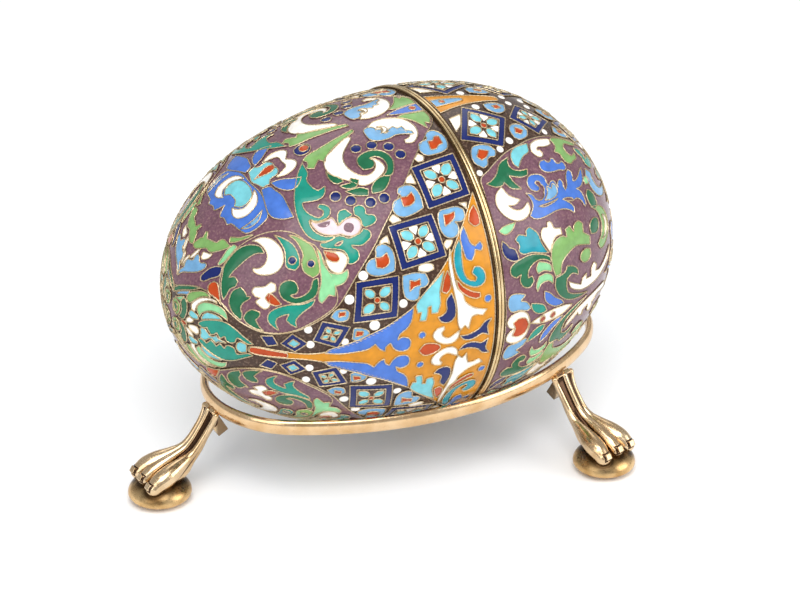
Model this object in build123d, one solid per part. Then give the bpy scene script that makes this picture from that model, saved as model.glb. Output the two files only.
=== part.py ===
"""Enamelled egg box lying in an oval ring stand on three paw feet.

Millimetres, +Z up, with the origin under the middle of the part on the surface it stands on.
The egg's long axis lies along X, and its blunt end points to +X. The egg is two hollow metal
shells under a skin of enamel. A sleeve fixed in the pointed half guides the blunt half, and the
whole egg lies loose in the ring, resting on the rims of its parting line.
"""

from build123d import *

import os
from math import atan2, cos, degrees, radians, sin, sqrt

# Egg: the profile is r = radius * sqrt(1 - (x / length) ** fullness) on each side of the parting
EGG_RADIUS = 34.5
POINTED_LENGTH = 56.5
BLUNT_LENGTH = 43.5
EGG_FULLNESS = 2.23
ENAMEL_THICKNESS = 0.8
SHELL_WALL = 0.9

# Parting line: a half-round rim on each half, and a round border wire beside each rim
PARTING_GAP = 0.1
RIM_WIDTH = 0.6
RIM_PROUD = 0.3
BORDER_WIRE = 0.26
BORDER_GAP = 0.1
BORDER_CLEARANCE = 0.04

# Sleeve: held in a turned land in the pointed half, sliding in a land in the blunt half
SLEEVE_WALL = 0.8
SLEEVE_LAND = 0.5
SLEEVE_SEAT = 5.0
SLEEVE_REACH = 6.0
SLEEVE_CLEARANCE = 0.06
SLEEVE_END_GAP = 0.4

# Ring: an egg-shaped oval of six tangent arcs, bent from a strip of oval section
RING_THICKNESS = 1.8
RING_DEPTH = 3.4
RING_TIP_INSET = 10.1
RING_BLUNT_INSET = 1.5
RING_SIDE_INSET = 7.1
RING_TIP_LENGTH = POINTED_LENGTH - RING_TIP_INSET
RING_BLUNT_LENGTH = BLUNT_LENGTH - RING_BLUNT_INSET
RING_HALF_WIDTH = EGG_RADIUS - RING_SIDE_INSET
RING_TIP_RADIUS = 19.9
RING_BLUNT_RADIUS = 20.2
RING_HEIGHT = 19.2
RING_BACK = 1.4
SEAT_CLEARANCE = 0.15

# Legs: cast, with three ridges that run down the front of a shank into three toes
LEG_STATION_DEG = 65.4
LEG_HEADING_DEG = 73.5
LEG_REACH = 12.95
SIDE_LEG_STANDOFF = 0.4
SHANK_PROUD = 0.9
SHANK_TOP_WIDTH = 5.4
SHANK_WIDTH = 4.8
SHANK_THICKNESS = 3.05
GROOVE_DEPTH = 0.65
PAW_GROOVE_DEPTH = 0.5
RIDGE_RADIUS = 0.6
SIDE_RIDGE_RADIUS = 0.62
SIDE_RIDGE_SPREAD = 2.05
SIDE_RIDGE_SETBACK = 1.4
PAW_WIDTH = 7.0
PAW_THICKNESS = 6.0
TOE_RADIUS = 1.6
SIDE_TOE_RADIUS = 1.85
TOE_SPREAD = 3.85
TOE_SETBACK = 1.75
HOCK_OUT = 4.6
HOCK_DROP = 5.4
ANKLE_OUT = 7.4
ANKLE_RISE = 5.4
INSTEP_BACK = 1.3
INSTEP_RISE = 4.0
KNUCKLE_OUT = 1.6
KNUCKLE_RISE = 2.75
TOE_OUT = 3.9
TOE_RISE = 0.8
NAIL_WIDTH = 1.5
NAIL_LENGTH = 1.4
NAIL_THICKNESS = 0.7
SPUR_THICKNESS = 2.4
SPUR_DEPTH = 3.2

# Ball feet: flattened balls, each with a small flat base and a spigot that pegs the paw
BALL_RADIUS = 6.6
BALL_BASE_RADIUS = 2.9
BALL_WAIST = 1.8
BALL_HEIGHT = 5.5
SPIGOT_RADIUS = 1.1
SPIGOT_LENGTH = 1.8

PROFILE_STEPS = 10

SEAM_X = (RING_BACK + RING_TIP_LENGTH + LEG_REACH + BALL_RADIUS - BLUNT_LENGTH) / 2
RING_X = SEAM_X - RING_BACK
SLEEVE_RADIUS = EGG_RADIUS - ENAMEL_THICKNESS - SHELL_WALL - SLEEVE_LAND


def egg_radius_at(x, length, inset=0.0):
    """Radius of the egg's profile at a distance x from the parting, for a surface sunk by inset."""
    share = min(max(x, 0.0) / (length - inset), 1.0)
    return (EGG_RADIUS - inset) * sqrt(1.0 - share**EGG_FULLNESS)


def ring_quarter(end):
    """Length, end radius and side radius of the ring's part towards one end: -1 is the tip end."""
    length = RING_BLUNT_LENGTH if end > 0 else RING_TIP_LENGTH
    radius = RING_BLUNT_RADIUS if end > 0 else RING_TIP_RADIUS
    width = RING_HALF_WIDTH
    return length, radius, (length**2 + width**2 - 2 * length * radius) / (2 * (width - radius))


def ring_joint(end):
    """Direction of the outward normal where a side arc meets an end arc."""
    length, radius, side = ring_quarter(end)
    return degrees(atan2(side - RING_HALF_WIDTH, length - radius))


def ring_point(direction):
    """Point of the ring's centre line whose outward normal has this direction, from its widest place."""
    along, across = cos(radians(direction)), sin(radians(direction))
    end = 1 if along > 0 else -1
    length, radius, side = ring_quarter(end)
    if degrees(atan2(abs(across), abs(along))) < ring_joint(end):
        return end * (length - radius) + radius * along, radius * across
    sign = 1 if across > 0 else -1
    return side * along, side * across - sign * (side - RING_HALF_WIDTH)


def seat_drop():
    """Height of the egg's axis above the ring's middle when the egg has settled in the ring."""
    edge = []
    for direction in range(181):
        x, y = ring_point(direction)
        for lean in range(90, 181, 6):
            out = RING_THICKNESS / 2 * cos(radians(lean))
            up = RING_DEPTH / 2 * sin(radians(lean))
            along = x + out * cos(radians(direction)) - RING_BACK
            edge.append((along, y + out * sin(radians(direction)), up))
    needed = []
    for x, y, z in edge:
        length = BLUNT_LENGTH if x > 0 else POINTED_LENGTH
        radius = EGG_RADIUS + RIM_PROUD if abs(x) < 3 * RIM_WIDTH else egg_radius_at(abs(x), length)
        if radius + SEAT_CLEARANCE > abs(y):
            needed.append(z + sqrt((radius + SEAT_CLEARANCE) ** 2 - y * y))
    return max(needed)


AXIS_Z = RING_HEIGHT + seat_drop()


def placed_on_axis(shape, side):
    """Moves a shape turned about X at the origin to the egg's axis, with +X towards its own pole."""
    turn = Rot(0, 0, 0) if side > 0 else Rot(0, 0, 180)
    return Pos(SEAM_X, 0, AXIS_Z) * turn * shape


def half_section(length, inset):
    """Half the section of the egg above its axis, for a surface sunk by inset."""
    start = PARTING_GAP / 2
    pole = length - inset
    steps = [sin(radians(90 * i / PROFILE_STEPS)) for i in range(PROFILE_STEPS + 1)]
    curve = [
        (start + (pole - start) * step, egg_radius_at(start + (pole - start) * step, length, inset))
        for step in steps
    ]
    profile = Spline(*curve, tangents=[(1, 0), (0, -1)])
    closing = Polyline((pole, 0), (start, 0), curve[0])
    return make_face(profile + closing)


def strip_section(inner, outer, start, end):
    """Rectangle in the section plane, between two radii and two stations along the axis."""
    return make_face(Polyline((start, inner), (end, inner), (end, outer), (start, outer), close=True))


def rim():
    """Half-round rim, soldered round the mouth of a shell."""
    inner = EGG_RADIUS - ENAMEL_THICKNESS
    start = PARTING_GAP / 2
    end = start + RIM_WIDTH
    crown = ThreePointArc(
        (start, EGG_RADIUS), ((start + end) / 2, EGG_RADIUS + RIM_PROUD), (end, EGG_RADIUS)
    )
    sides = Polyline((end, EGG_RADIUS), (end, inner), (start, inner), (start, EGG_RADIUS))
    return revolve(make_face(crown + sides), Axis.X)


def wire_section(length, clearance=0.0):
    """Section of the border wire, or of its groove, with its middle on the enamel's surface."""
    station = PARTING_GAP / 2 + RIM_WIDTH + BORDER_GAP + BORDER_WIRE / 2
    return Pos(station, egg_radius_at(station, length)) * Circle(BORDER_WIRE / 2 + clearance)


def border_wire(length):
    """Round wire ring that closes the enamel field beside the rim, half sunk in the enamel."""
    return revolve(wire_section(length), Axis.X)


def shell(length, land_radius, land_depth):
    """Hollow metal half, with a turned land for the sleeve behind its mouth."""
    hollow = half_section(length, ENAMEL_THICKNESS + SHELL_WALL)
    land = strip_section(land_radius, EGG_RADIUS, 0, land_depth)
    return revolve(half_section(length, ENAMEL_THICKNESS) - (hollow - land), Axis.X)


def enamel(length):
    """Skin of enamel between the rim and the pole, grooved for the border wire."""
    skin = half_section(length, 0) - half_section(length, ENAMEL_THICKNESS)
    mouth = strip_section(0, EGG_RADIUS + RIM_PROUD, 0, PARTING_GAP / 2 + RIM_WIDTH)
    return revolve(skin - mouth - wire_section(length, BORDER_CLEARANCE), Axis.X)


def sleeve():
    """Guide sleeve: seated in the pointed half's land, reaching into the blunt half."""
    section = strip_section(SLEEVE_RADIUS - SLEEVE_WALL, SLEEVE_RADIUS, -SLEEVE_SEAT, SLEEVE_REACH)
    return revolve(section, Axis.X)


def ring():
    """Egg-shaped ring: an oval section swept along four side arcs and two end arcs."""
    blunt, tip = ring_joint(1), ring_joint(-1)
    turns = [0, blunt, 90, 180 - tip, 180, 180 + tip, 270, 360 - blunt, 360]
    arcs = []
    for start, end in zip(turns, turns[1:]):
        middle = (start + end) / 2
        arcs.append(ThreePointArc(ring_point(start), ring_point(middle), ring_point(end)))
    path = Wire(arcs)
    start = Plane(path @ 0, x_dir=(0, 0, 1), z_dir=path % 0)
    section = start * Ellipse(RING_DEPTH / 2, RING_THICKNESS / 2)
    return Pos(RING_X, 0, RING_HEIGHT) * sweep(section, path=path)


def leg_front():
    """Stations down the leg's front line, each with its heading and the way into the leg."""
    points = [
        Vector(RING_THICKNESS / 2 + SHANK_PROUD, 0, RING_HEIGHT - RING_DEPTH * 0.3),
        Vector(HOCK_OUT, 0, RING_HEIGHT - HOCK_DROP),
        Vector(ANKLE_OUT, 0, BALL_HEIGHT + ANKLE_RISE),
        Vector(LEG_REACH - INSTEP_BACK, 0, BALL_HEIGHT + INSTEP_RISE),
        Vector(LEG_REACH + KNUCKLE_OUT, 0, BALL_HEIGHT + KNUCKLE_RISE),
        Vector(LEG_REACH + TOE_OUT, 0, BALL_HEIGHT + TOE_RISE),
    ]
    line = Spline(*points)
    headings = [line.tangent_at(line.param_at_point(point)) for point in points]
    return [(point, way, Vector(way.Z, 0, -way.X)) for point, way in zip(points, headings)]


def ridge(side):
    """One ridge of the leg, from the ring down to its toe: side is -1, 0 or 1 across the leg."""
    if side == 0:
        low, high = RIDGE_RADIUS, TOE_RADIUS
        radii = [low, low, low * 1.2, high * 0.8, high, high * 0.9]
        setbacks, spreads = radii, [0] * 6
    else:
        low, high = SIDE_RIDGE_RADIUS, SIDE_TOE_RADIUS
        radii = [low, low, low * 1.15, high * 0.85, high, high * 0.86]
        near, far = SIDE_RIDGE_SETBACK, TOE_SETBACK
        setbacks = [near * 0.9, near, near * 1.15, far, far, far * 0.85]
        narrow, wide = SIDE_RIDGE_SPREAD, TOE_SPREAD
        spreads = [narrow * 1.3, narrow, narrow * 1.05, wide * 0.8, wide * 0.95, wide]
    sections = []
    for (point, way, inward), radius, setback, spread in zip(leg_front(), radii, setbacks, spreads):
        middle = point + inward * setback + Vector(0, side * spread, 0)
        sections.append(Plane(middle, x_dir=(0, 1, 0), z_dir=way) * Circle(radius))
    return loft(sections) + Pos(*middle) * Sphere(radius * 0.98)


def core():
    """Body of the leg behind its ridges, whose front is the floor of the grooves."""
    widths = [SHANK_TOP_WIDTH, SHANK_WIDTH, SHANK_WIDTH * 1.1, PAW_WIDTH * 0.9, PAW_WIDTH, PAW_WIDTH * 0.9]
    slim, stout = SHANK_THICKNESS, PAW_THICKNESS
    depths = [slim * 0.65, slim, slim * 1.4, stout, stout * 0.85, stout * 0.4]
    grooves = [GROOVE_DEPTH] * 3 + [PAW_GROOVE_DEPTH] * 3
    sections = []
    for (point, way, inward), width, depth, groove in zip(leg_front(), widths, depths, grooves):
        lie = Plane(point + inward * (groove + depth) / 2, x_dir=(0, 1, 0), z_dir=way)
        sections.append(lie * Ellipse(width / 2, (depth - groove) / 2))
    return loft(sections)


def nail(side):
    """Short square nail on the end of a toe."""
    point, way, inward = leg_front()[-1]
    setback = TOE_RADIUS * 0.9 if side == 0 else TOE_SETBACK * 0.85
    reach = TOE_RADIUS * 0.55 if side == 0 else SIDE_TOE_RADIUS * 0.5
    middle = point + inward * (setback - reach) + way * reach + Vector(0, side * TOE_SPREAD, 0)
    lie = Plane(middle, x_dir=(0, 1, 0), z_dir=way - inward)
    return lie * Box(NAIL_WIDTH, NAIL_LENGTH, NAIL_THICKNESS)


def spur():
    """Small fin on the inner side of the leg, below the ring."""
    top = RING_HEIGHT - RING_DEPTH * 0.6
    outline = Polyline(
        (HOCK_OUT * 0.5, top),
        (0, top),
        (-SPUR_DEPTH * 0.62, top - SPUR_DEPTH * 1.2),
        (-SPUR_DEPTH * 0.05, top - SPUR_DEPTH * 1.75),
        (HOCK_OUT * 0.65, top - SPUR_DEPTH * 1.3),
        close=True,
    )
    return extrude(Plane.XZ * make_face(outline), SPUR_THICKNESS / 2, both=True)


def ball_foot():
    """Flattened ball with a flat base and a spigot for the paw, on the local origin."""
    dome = EllipticalCenterArc(
        (0, BALL_WAIST), BALL_RADIUS, BALL_HEIGHT - BALL_WAIST, start_angle=0, arc_size=90
    )
    base_share = BALL_BASE_RADIUS / BALL_RADIUS
    depth = BALL_WAIST / sqrt(1 - base_share**2)
    sweep_angle = degrees(atan2(sqrt(1 - base_share**2), base_share))
    skirt = EllipticalCenterArc(
        (0, BALL_WAIST), BALL_RADIUS, depth, start_angle=-sweep_angle, arc_size=sweep_angle
    )
    closing = Polyline((0, BALL_HEIGHT), (0, 0), (BALL_BASE_RADIUS, 0))
    ball = revolve(Plane.XZ * make_face(dome + skirt + closing), Axis.Z)
    height = SPIGOT_LENGTH + BALL_HEIGHT / 2
    spigot = Pos(0, 0, BALL_HEIGHT / 2 + height / 2) * Cylinder(SPIGOT_RADIUS, height)
    return ball + spigot


def leg():
    """Paw leg on its local frame: X runs out from the ring's centre line, Z up from the floor."""
    ball = Pos(LEG_REACH, 0, 0) * ball_foot()
    casting = (core() - ball) + spur()
    for side in (-1, 0, 1):
        casting = casting + (ridge(side) - ball) + (nail(side) - ball)
    return casting


def leg_places():
    """Where each leg's local frame stands in the part."""
    places = {}
    for place, station, heading, standoff in (
        ("tip_end", 180.0, 180.0, 0.0),
        ("front", -LEG_STATION_DEG, -LEG_HEADING_DEG, SIDE_LEG_STANDOFF),
        ("rear", LEG_STATION_DEG, LEG_HEADING_DEG, SIDE_LEG_STANDOFF),
    ):
        x, y = ring_point(station)
        places[place] = Pos(RING_X + x, y, 0) * Rot(0, 0, heading) * Pos(standoff, 0, 0)
    return places


def build():
    """Every piece of the egg and its stand, by name."""
    pieces = {
        "pointed_shell": placed_on_axis(shell(POINTED_LENGTH, SLEEVE_RADIUS, SLEEVE_SEAT), -1),
        "pointed_enamel": placed_on_axis(enamel(POINTED_LENGTH), -1),
        "pointed_rim": placed_on_axis(rim(), -1),
        "pointed_border_wire": placed_on_axis(border_wire(POINTED_LENGTH), -1),
        "inner_sleeve": placed_on_axis(sleeve(), 1),
        "blunt_shell": placed_on_axis(
            shell(
                BLUNT_LENGTH, SLEEVE_RADIUS + SLEEVE_CLEARANCE, SLEEVE_REACH + SLEEVE_END_GAP
            ),
            1,
        ),
        "blunt_enamel": placed_on_axis(enamel(BLUNT_LENGTH), 1),
        "blunt_rim": placed_on_axis(rim(), 1),
        "blunt_border_wire": placed_on_axis(border_wire(BLUNT_LENGTH), 1),
        "stand_ring": ring(),
    }
    casting = leg()
    foot = ball_foot()
    for place, where in leg_places().items():
        pieces[f"leg_{place}"] = where * casting - pieces["stand_ring"]
        pieces[f"ball_foot_{place}"] = where * Pos(LEG_REACH, 0, 0) * foot
    return pieces


os.makedirs("parts", exist_ok=True)
for name, piece in build().items():
    export_step(piece, f"parts/{name}.step")
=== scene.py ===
import math

import bpy
import numpy as np
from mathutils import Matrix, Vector
from mathutils.geometry import delaunay_2d_cdt
from mathutils.kdtree import KDTree


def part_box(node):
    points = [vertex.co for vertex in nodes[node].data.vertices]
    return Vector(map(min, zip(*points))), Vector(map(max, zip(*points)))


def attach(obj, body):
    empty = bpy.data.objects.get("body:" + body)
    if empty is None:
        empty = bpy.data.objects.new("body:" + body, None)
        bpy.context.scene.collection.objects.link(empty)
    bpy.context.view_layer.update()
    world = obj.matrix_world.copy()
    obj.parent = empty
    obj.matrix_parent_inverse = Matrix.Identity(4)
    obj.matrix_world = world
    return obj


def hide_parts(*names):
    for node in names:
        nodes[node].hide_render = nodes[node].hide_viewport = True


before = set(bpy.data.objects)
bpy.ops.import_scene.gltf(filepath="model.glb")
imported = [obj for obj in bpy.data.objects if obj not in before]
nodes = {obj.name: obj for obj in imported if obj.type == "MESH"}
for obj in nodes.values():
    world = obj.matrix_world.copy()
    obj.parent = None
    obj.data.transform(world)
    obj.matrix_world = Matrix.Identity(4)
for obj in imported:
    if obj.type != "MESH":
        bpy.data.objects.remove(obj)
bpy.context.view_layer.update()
MM = 0.001


# Ball feet: three flattened balls, turned from silver gilt and rubbed to a satin shine.
# Each stands on a small flat base, and is pegged and soldered under its paw.
BALL_RADIUS, BALL_WAIST, BALL_HEIGHT, BALL_BASE = 6.6, 1.8, 5.5, 2.9
BALL_SIDES, LOWER_RINGS, UPPER_RINGS = 120, 12, 32
PLACES = ("tip_end", "front", "rear")
# Marks in the gilding, in millimetres: rubbed and unrubbed clouds, and the scratches of polishing.
RUBBED_CLOUD, POLISH_MARK, POLISH_DEPTH = 4.0, 0.4, 0.05
# Numbers of sockets: a map's two ranges, and a colour mix's two colours and its result.
FROM_LOW, FROM_HIGH, TO_LOW, TO_HIGH = 1, 2, 3, 4
MIX_A, MIX_B, MIXED = 6, 7, 2


def linear(code):
    """Linear colour of an sRGB hex code."""
    parts = [int(code[i:i + 2], 16) / 255 for i in (1, 3, 5)]
    return tuple(p / 12.92 if p <= 0.04045 else ((p + 0.055) / 1.055) ** 2.4 for p in parts) + (1.0,)


def add_node(tree, kind, links=(), **settings):
    """Adds a node with its settings. Links pair an input with a value or with another node's output."""
    made = tree.nodes.new(kind)
    for key, value in settings.items():
        setattr(made, key, value)
    for socket, source in links:
        if isinstance(source, bpy.types.NodeSocket):
            tree.links.new(source, made.inputs[socket])
        else:
            made.inputs[socket].default_value = source
    return made


def gilt(name, bright, dull, roughness, patina_and_shade_colour=None, patina_and_shade_reach=0.0):
    """Fire-gilt silver in rubbed clouds, darkened by a mark of hollow patina and painted shade."""
    material = bpy.data.materials.new(name)
    material.use_nodes = True
    tree = material.node_tree
    shader = tree.nodes["Principled BSDF"]
    shader.inputs["Metallic"].default_value = 1.0
    place = add_node(tree, "ShaderNodeTexCoord").outputs["Object"]
    clouds = add_node(
        tree, "ShaderNodeTexNoise",
        [("Vector", place), ("Scale", 1 / (RUBBED_CLOUD * MM)), ("Detail", 3.0)],
    ).outputs["Fac"]
    marks = add_node(
        tree, "ShaderNodeTexNoise",
        [("Vector", place), ("Scale", 1 / (POLISH_MARK * MM)), ("Detail", 2.0)],
    ).outputs["Fac"]
    spread = add_node(tree, "ShaderNodeMapRange", [("Value", clouds), (FROM_LOW, 0.35), (FROM_HIGH, 0.7)])
    colour = add_node(
        tree, "ShaderNodeMix",
        [("Factor", spread.outputs[0]), (MIX_A, linear(bright)), (MIX_B, linear(dull))], data_type="RGBA",
    ).outputs[MIXED]
    if patina_and_shade_colour:
        patina_and_shade_mask = add_node(tree, "ShaderNodeAttribute", attribute_name="patina_and_shade").outputs["Fac"]
        dark = add_node(
            tree, "ShaderNodeMapRange",
            [("Value", patina_and_shade_mask), (FROM_LOW, 0.06), (FROM_HIGH, patina_and_shade_reach), (TO_HIGH, 0.95)],
        )
        colour = add_node(
            tree, "ShaderNodeMix",
            [("Factor", dark.outputs[0]), (MIX_A, colour), (MIX_B, linear(patina_and_shade_colour))], data_type="RGBA",
        ).outputs[MIXED]
    tree.links.new(colour, shader.inputs["Base Color"])
    rough = add_node(
        tree, "ShaderNodeMapRange",
        [("Value", marks), (FROM_LOW, 0.3), (FROM_HIGH, 0.7),
         (TO_LOW, roughness - 0.06), (TO_HIGH, roughness + 0.1)],
    )
    tree.links.new(rough.outputs[0], shader.inputs["Roughness"])
    bump = add_node(
        tree, "ShaderNodeBump", [("Height", marks), ("Strength", 0.06), ("Distance", POLISH_DEPTH * MM)]
    )
    tree.links.new(bump.outputs[0], shader.inputs["Normal"])
    return material


def mesh_piece(name, points, faces, material, smooth=True):
    """Object from points in millimetres and faces, with its place in its mesh."""
    mesh = bpy.data.meshes.new(name)
    mesh.from_pydata(np.asarray(points, float) * MM, [], faces)
    mesh.validate()
    mesh.update()
    mesh.shade_smooth() if smooth else mesh.shade_flat()
    mesh.materials.append(material)
    piece = bpy.data.objects.new(name, mesh)
    bpy.context.collection.objects.link(piece)
    return piece


def turned(profile, sides):
    """Points and faces of a profile of (radius, along) turned about its axis, which comes first."""
    points, rings, faces = [], [], []
    for radius, along in profile:
        if radius < 1e-6:
            rings.append([len(points)] * sides)
            points.append((along, 0.0, 0.0))
            continue
        rings.append(list(range(len(points), len(points) + sides)))
        for i in range(sides):
            turn = 2 * math.pi * i / sides
            points.append((along, -radius * math.sin(turn), radius * math.cos(turn)))
    for low, high in zip(rings, rings[1:]):
        for i in range(sides):
            j = (i + 1) % sides
            corners = [low[i], low[j], high[j], high[i]]
            face = [c for n, c in enumerate(corners) if c not in corners[:n]]
            if len(face) > 2:
                faces.append(face)
    return np.array(points), faces


# The ball's dark colour is painted shade, laid on near each paw and on the ball's crown.
satin_gilt = gilt("satin_gilt_ball", "#DCBA86", "#B48C56", 0.3, patina_and_shade_colour="#33200F", patina_and_shade_reach=0.75)
base_turn = math.acos(BALL_BASE / BALL_RADIUS)
ball_profile = [(0.0, 0.0)]
for rings, sweep, half_height in (
    (range(-LOWER_RINGS, 0), base_turn / LOWER_RINGS, BALL_WAIST / math.sin(base_turn)),
    (range(UPPER_RINGS), math.pi / 2 / UPPER_RINGS, BALL_HEIGHT - BALL_WAIST),
):
    for i in rings:
        radius = BALL_RADIUS * math.cos(sweep * i)
        ball_profile.append((radius, BALL_WAIST + half_height * math.sin(sweep * i)))
ball_profile.append((0.0, BALL_HEIGHT))
ball_points, ball_faces = turned(ball_profile, BALL_SIDES)
foot_middle = {}
for place in PLACES:
    low, high = (np.array(corner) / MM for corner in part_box("ball_foot_" + place))
    foot_middle[place] = np.array(((low[0] + high[0]) / 2, (low[1] + high[1]) / 2, 0.0))
    stood = ball_points[:, (1, 2, 0)] + foot_middle[place]
    foot = mesh_piece("foot_" + place, stood, ball_faces, satin_gilt)
    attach(foot, "stand")
    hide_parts("ball_foot_" + place)


# Paw legs: three silver-gilt castings. Three ridges run down the front of each bent shank and swell
# into toes with square nails. The flutes between them are left dark, and the leg is soldered to the ring.
LEG_TURNS = {"tip_end": 180.0, "front": -73.5, "rear": 73.5}
LEG_REACH = 12.95
# Down the front: out, up, body thickness and half width, flute depth, the middle ridge's radius,
# and the side ridges' spread, set-back and radius.
LEG_STATIONS = [
    (1.85, 18.1, 2.0, 2.75, 0.7, 0.62, 2.65, 1.2, 0.62),
    (2.45, 17.0, 2.95, 2.5, 0.85, 0.6, 2.35, 1.35, 0.6),
    (3.45, 15.4, 3.05, 2.4, 0.9, 0.6, 2.1, 1.4, 0.6),
    (4.6, 13.75, 3.05, 2.4, 0.9, 0.6, 2.05, 1.4, 0.62),
    (5.9, 12.1, 3.5, 2.4, 0.9, 0.64, 2.05, 1.45, 0.68),
    (7.4, 10.9, 4.3, 2.5, 0.9, 0.74, 2.15, 1.6, 0.85),
    (9.5, 10.1, 6.2, 2.9, 1.15, 0.9, 2.5, 1.85, 1.4),
    (11.65, 9.5, 6.8, 3.2, 1.4, 1.15, 2.95, 2.15, 1.9),
    (13.4, 8.9, 6.0, 3.4, 1.6, 1.3, 3.3, 2.25, 2.1),
    (15.3, 8.05, 4.3, 3.4, 1.8, 1.42, 3.6, 2.15, 2.05),
    (17.0, 6.8, 2.7, 3.1, 1.9, 1.45, 3.8, 1.95, 1.72),
]
NAIL_HALF, NAIL_PITCH = (0.14, 0.74, 0.68), -32.0
# Blocks by their centre, half sizes and pitch: the spur behind the shank, and the solder that fills
# the corner between the top of the leg and the ring.
SPUR = ((-0.55, 0.0, 13.85), (1.25, 1.2, 2.0), 28.0)
SOLDER = ((0.75, 0.0, 17.75), (0.55, 2.1, 0.6), 20.0)
LIMB_SIDES, CAP_RINGS, CAP_SWEEP, CAP_START = 20, 5, 1.4, 0.17
CASTING_VOXEL, SOFTENING, SOFTEN_STEPS = 0.1, 0.5, 7
# Darkening: patina by how deep a flute is, the darkened inner side, the crease cut round a nail,
# and painted shade on the ball close to the paw and on its crown under the paw.
FLOW_STEPS, FLUTE_DEPTH = 120, 0.14
INNER_FROM, INNER_FADE, INNER_DARKENING = 0.6, 0.8, 0.42
CREASE_REACH, CREASE_AT, CREASE_HALF, CREASE_DEPTH = 0.9, 1.2, 0.2, 0.1
PAW_SHADE_REACH, CROWN_FROM, CROWN_FADE, CROWN_SHADE = 2.4, 3.0, 2.4, 0.8


def through(stations, per_span):
    """Smooth open line of numbers through stations."""
    s = np.array(stations, float)
    ends = np.vstack((2 * s[0] - s[1], s, 2 * s[-1] - s[-2]))
    line = []
    for a, b, c, d in zip(ends, ends[1:], ends[2:], ends[3:]):
        for t in np.arange(per_span) / per_span:
            line.append(
                b + 0.5 * t * (c - a + t * (2 * a - 5 * b + 4 * c - d + t * (3 * (b - c) + d - a)))
            )
    return np.array(line + [s[-1]])


def limb(stations, sides=LIMB_SIDES):
    """Closed tube through stations of (x, y, z, half width, half depth), with rounded ends."""
    centre, width, depth = stations[:, :3], stations[:, 3], stations[:, 4]
    heading = np.gradient(centre, axis=0)
    heading /= np.linalg.norm(heading, axis=1)[:, None]
    across = np.array((0.0, 1.0, 0.0)) - heading * heading[:, 1:2]
    across /= np.linalg.norm(across, axis=1)[:, None]
    upward = np.cross(heading, across)
    turn = np.linspace(0, 2 * np.pi, sides, endpoint=False)
    points, faces = [], []
    caps = np.linspace(0, CAP_SWEEP, CAP_RINGS)
    start_cap = [(0, -math.cos(a), math.sin(a)) for a in caps]
    body = [(i, 0.0, 1.0) for i in range(len(stations))]
    end_cap = [(len(stations) - 1, math.sin(a), math.cos(a)) for a in CAP_START + caps]
    for i, shift, share in start_cap + body + end_cap:
        middle = centre[i] + heading[i] * shift * depth[i]
        rim = share * (
            np.outer(np.cos(turn), across[i]) * width[i] + np.outer(np.sin(turn), upward[i]) * depth[i]
        )
        points.extend(middle + rim)
    rings = len(points) // sides
    for r in range(rings - 1):
        for i in range(sides):
            j = (i + 1) % sides
            faces.append((r * sides + i, r * sides + j, (r + 1) * sides + j, (r + 1) * sides + i))
    faces.append(tuple(range(sides))[::-1])
    faces.append(tuple(range((rings - 1) * sides, rings * sides)))
    return np.array(points), faces


def block(centre, half, pitch):
    """Closed box, pitched in the leg's plane."""
    corners = np.array([(x, y, z) for x in (-1, 1) for y in (-1, 1) for z in (-1, 1)]) * np.array(half)
    c, s = math.cos(math.radians(pitch)), math.sin(math.radians(pitch))
    spin = np.array(((c, 0.0, s), (0.0, 1.0, 0.0), (-s, 0.0, c)))
    faces = [(0, 1, 3, 2), (4, 6, 7, 5), (0, 4, 5, 1), (2, 3, 7, 6), (0, 2, 6, 4), (1, 5, 7, 3)]
    return corners @ spin.T + np.array(centre), faces


def point_numbers(mesh, kind):
    """The places or the normals of a mesh's points."""
    numbers = np.empty(len(mesh.vertices) * 3)
    mesh.vertices.foreach_get(kind, numbers)
    return numbers.reshape(-1, 3)


front = through(LEG_STATIONS, 5)
way = np.gradient(front[:, :2], axis=0)
way /= np.linalg.norm(way, axis=1)[:, None]
into = np.stack((way[:, 1], 0 * way[:, 0], -way[:, 0]), 1)
crest = np.stack((front[:, 0], 0 * front[:, 0], front[:, 1]), 1)
thickness, half_width, flute, ridge, spread, setback, side_ridge = front[:, 2:].T
body_half = (thickness - flute) / 2
lumps = [limb(np.column_stack((crest + into * (flute + body_half)[:, None], half_width, body_half)))]
nail_out = np.array((math.cos(math.radians(NAIL_PITCH)), 0.0, -math.sin(math.radians(NAIL_PITCH))))
nails = []
for side in (-1, 0, 1):
    radius = side_ridge if side else ridge
    line = crest + into * (setback if side else ridge)[:, None]
    line[:, 1] = side * spread
    lumps.append(limb(np.column_stack((line, radius, radius))))
    nails.append(line[-1] + radius[-1] * nail_out)
    lumps.append(block(nails[-1], NAIL_HALF, NAIL_PITCH))
lumps += [block(*SPUR), block(*SOLDER)]
cast_points, cast_faces, start = [], [], 0
for points, faces in lumps:
    cast_points.extend(points)
    cast_faces.extend([tuple(c + start for c in face) for face in faces])
    start += len(points)

polished_gilt = gilt(
    "polished_gilt_casting", "#E4C9A3", "#C5A479", 0.2, patina_and_shade_colour="#341C12", patina_and_shade_reach=0.55
)
rough_casting = mesh_piece("rough_casting", np.array(cast_points) / MM, cast_faces, polished_gilt)
remesh = rough_casting.modifiers.new("fuse", "REMESH")
remesh.mode = "VOXEL"
remesh.voxel_size = CASTING_VOXEL
soften = rough_casting.modifiers.new("soften", "SMOOTH")
soften.factor, soften.iterations = SOFTENING, SOFTEN_STEPS
evaluated = rough_casting.evaluated_get(bpy.context.evaluated_depsgraph_get())
casting = bpy.data.meshes.new_from_object(evaluated)
bpy.data.objects.remove(rough_casting)

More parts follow.
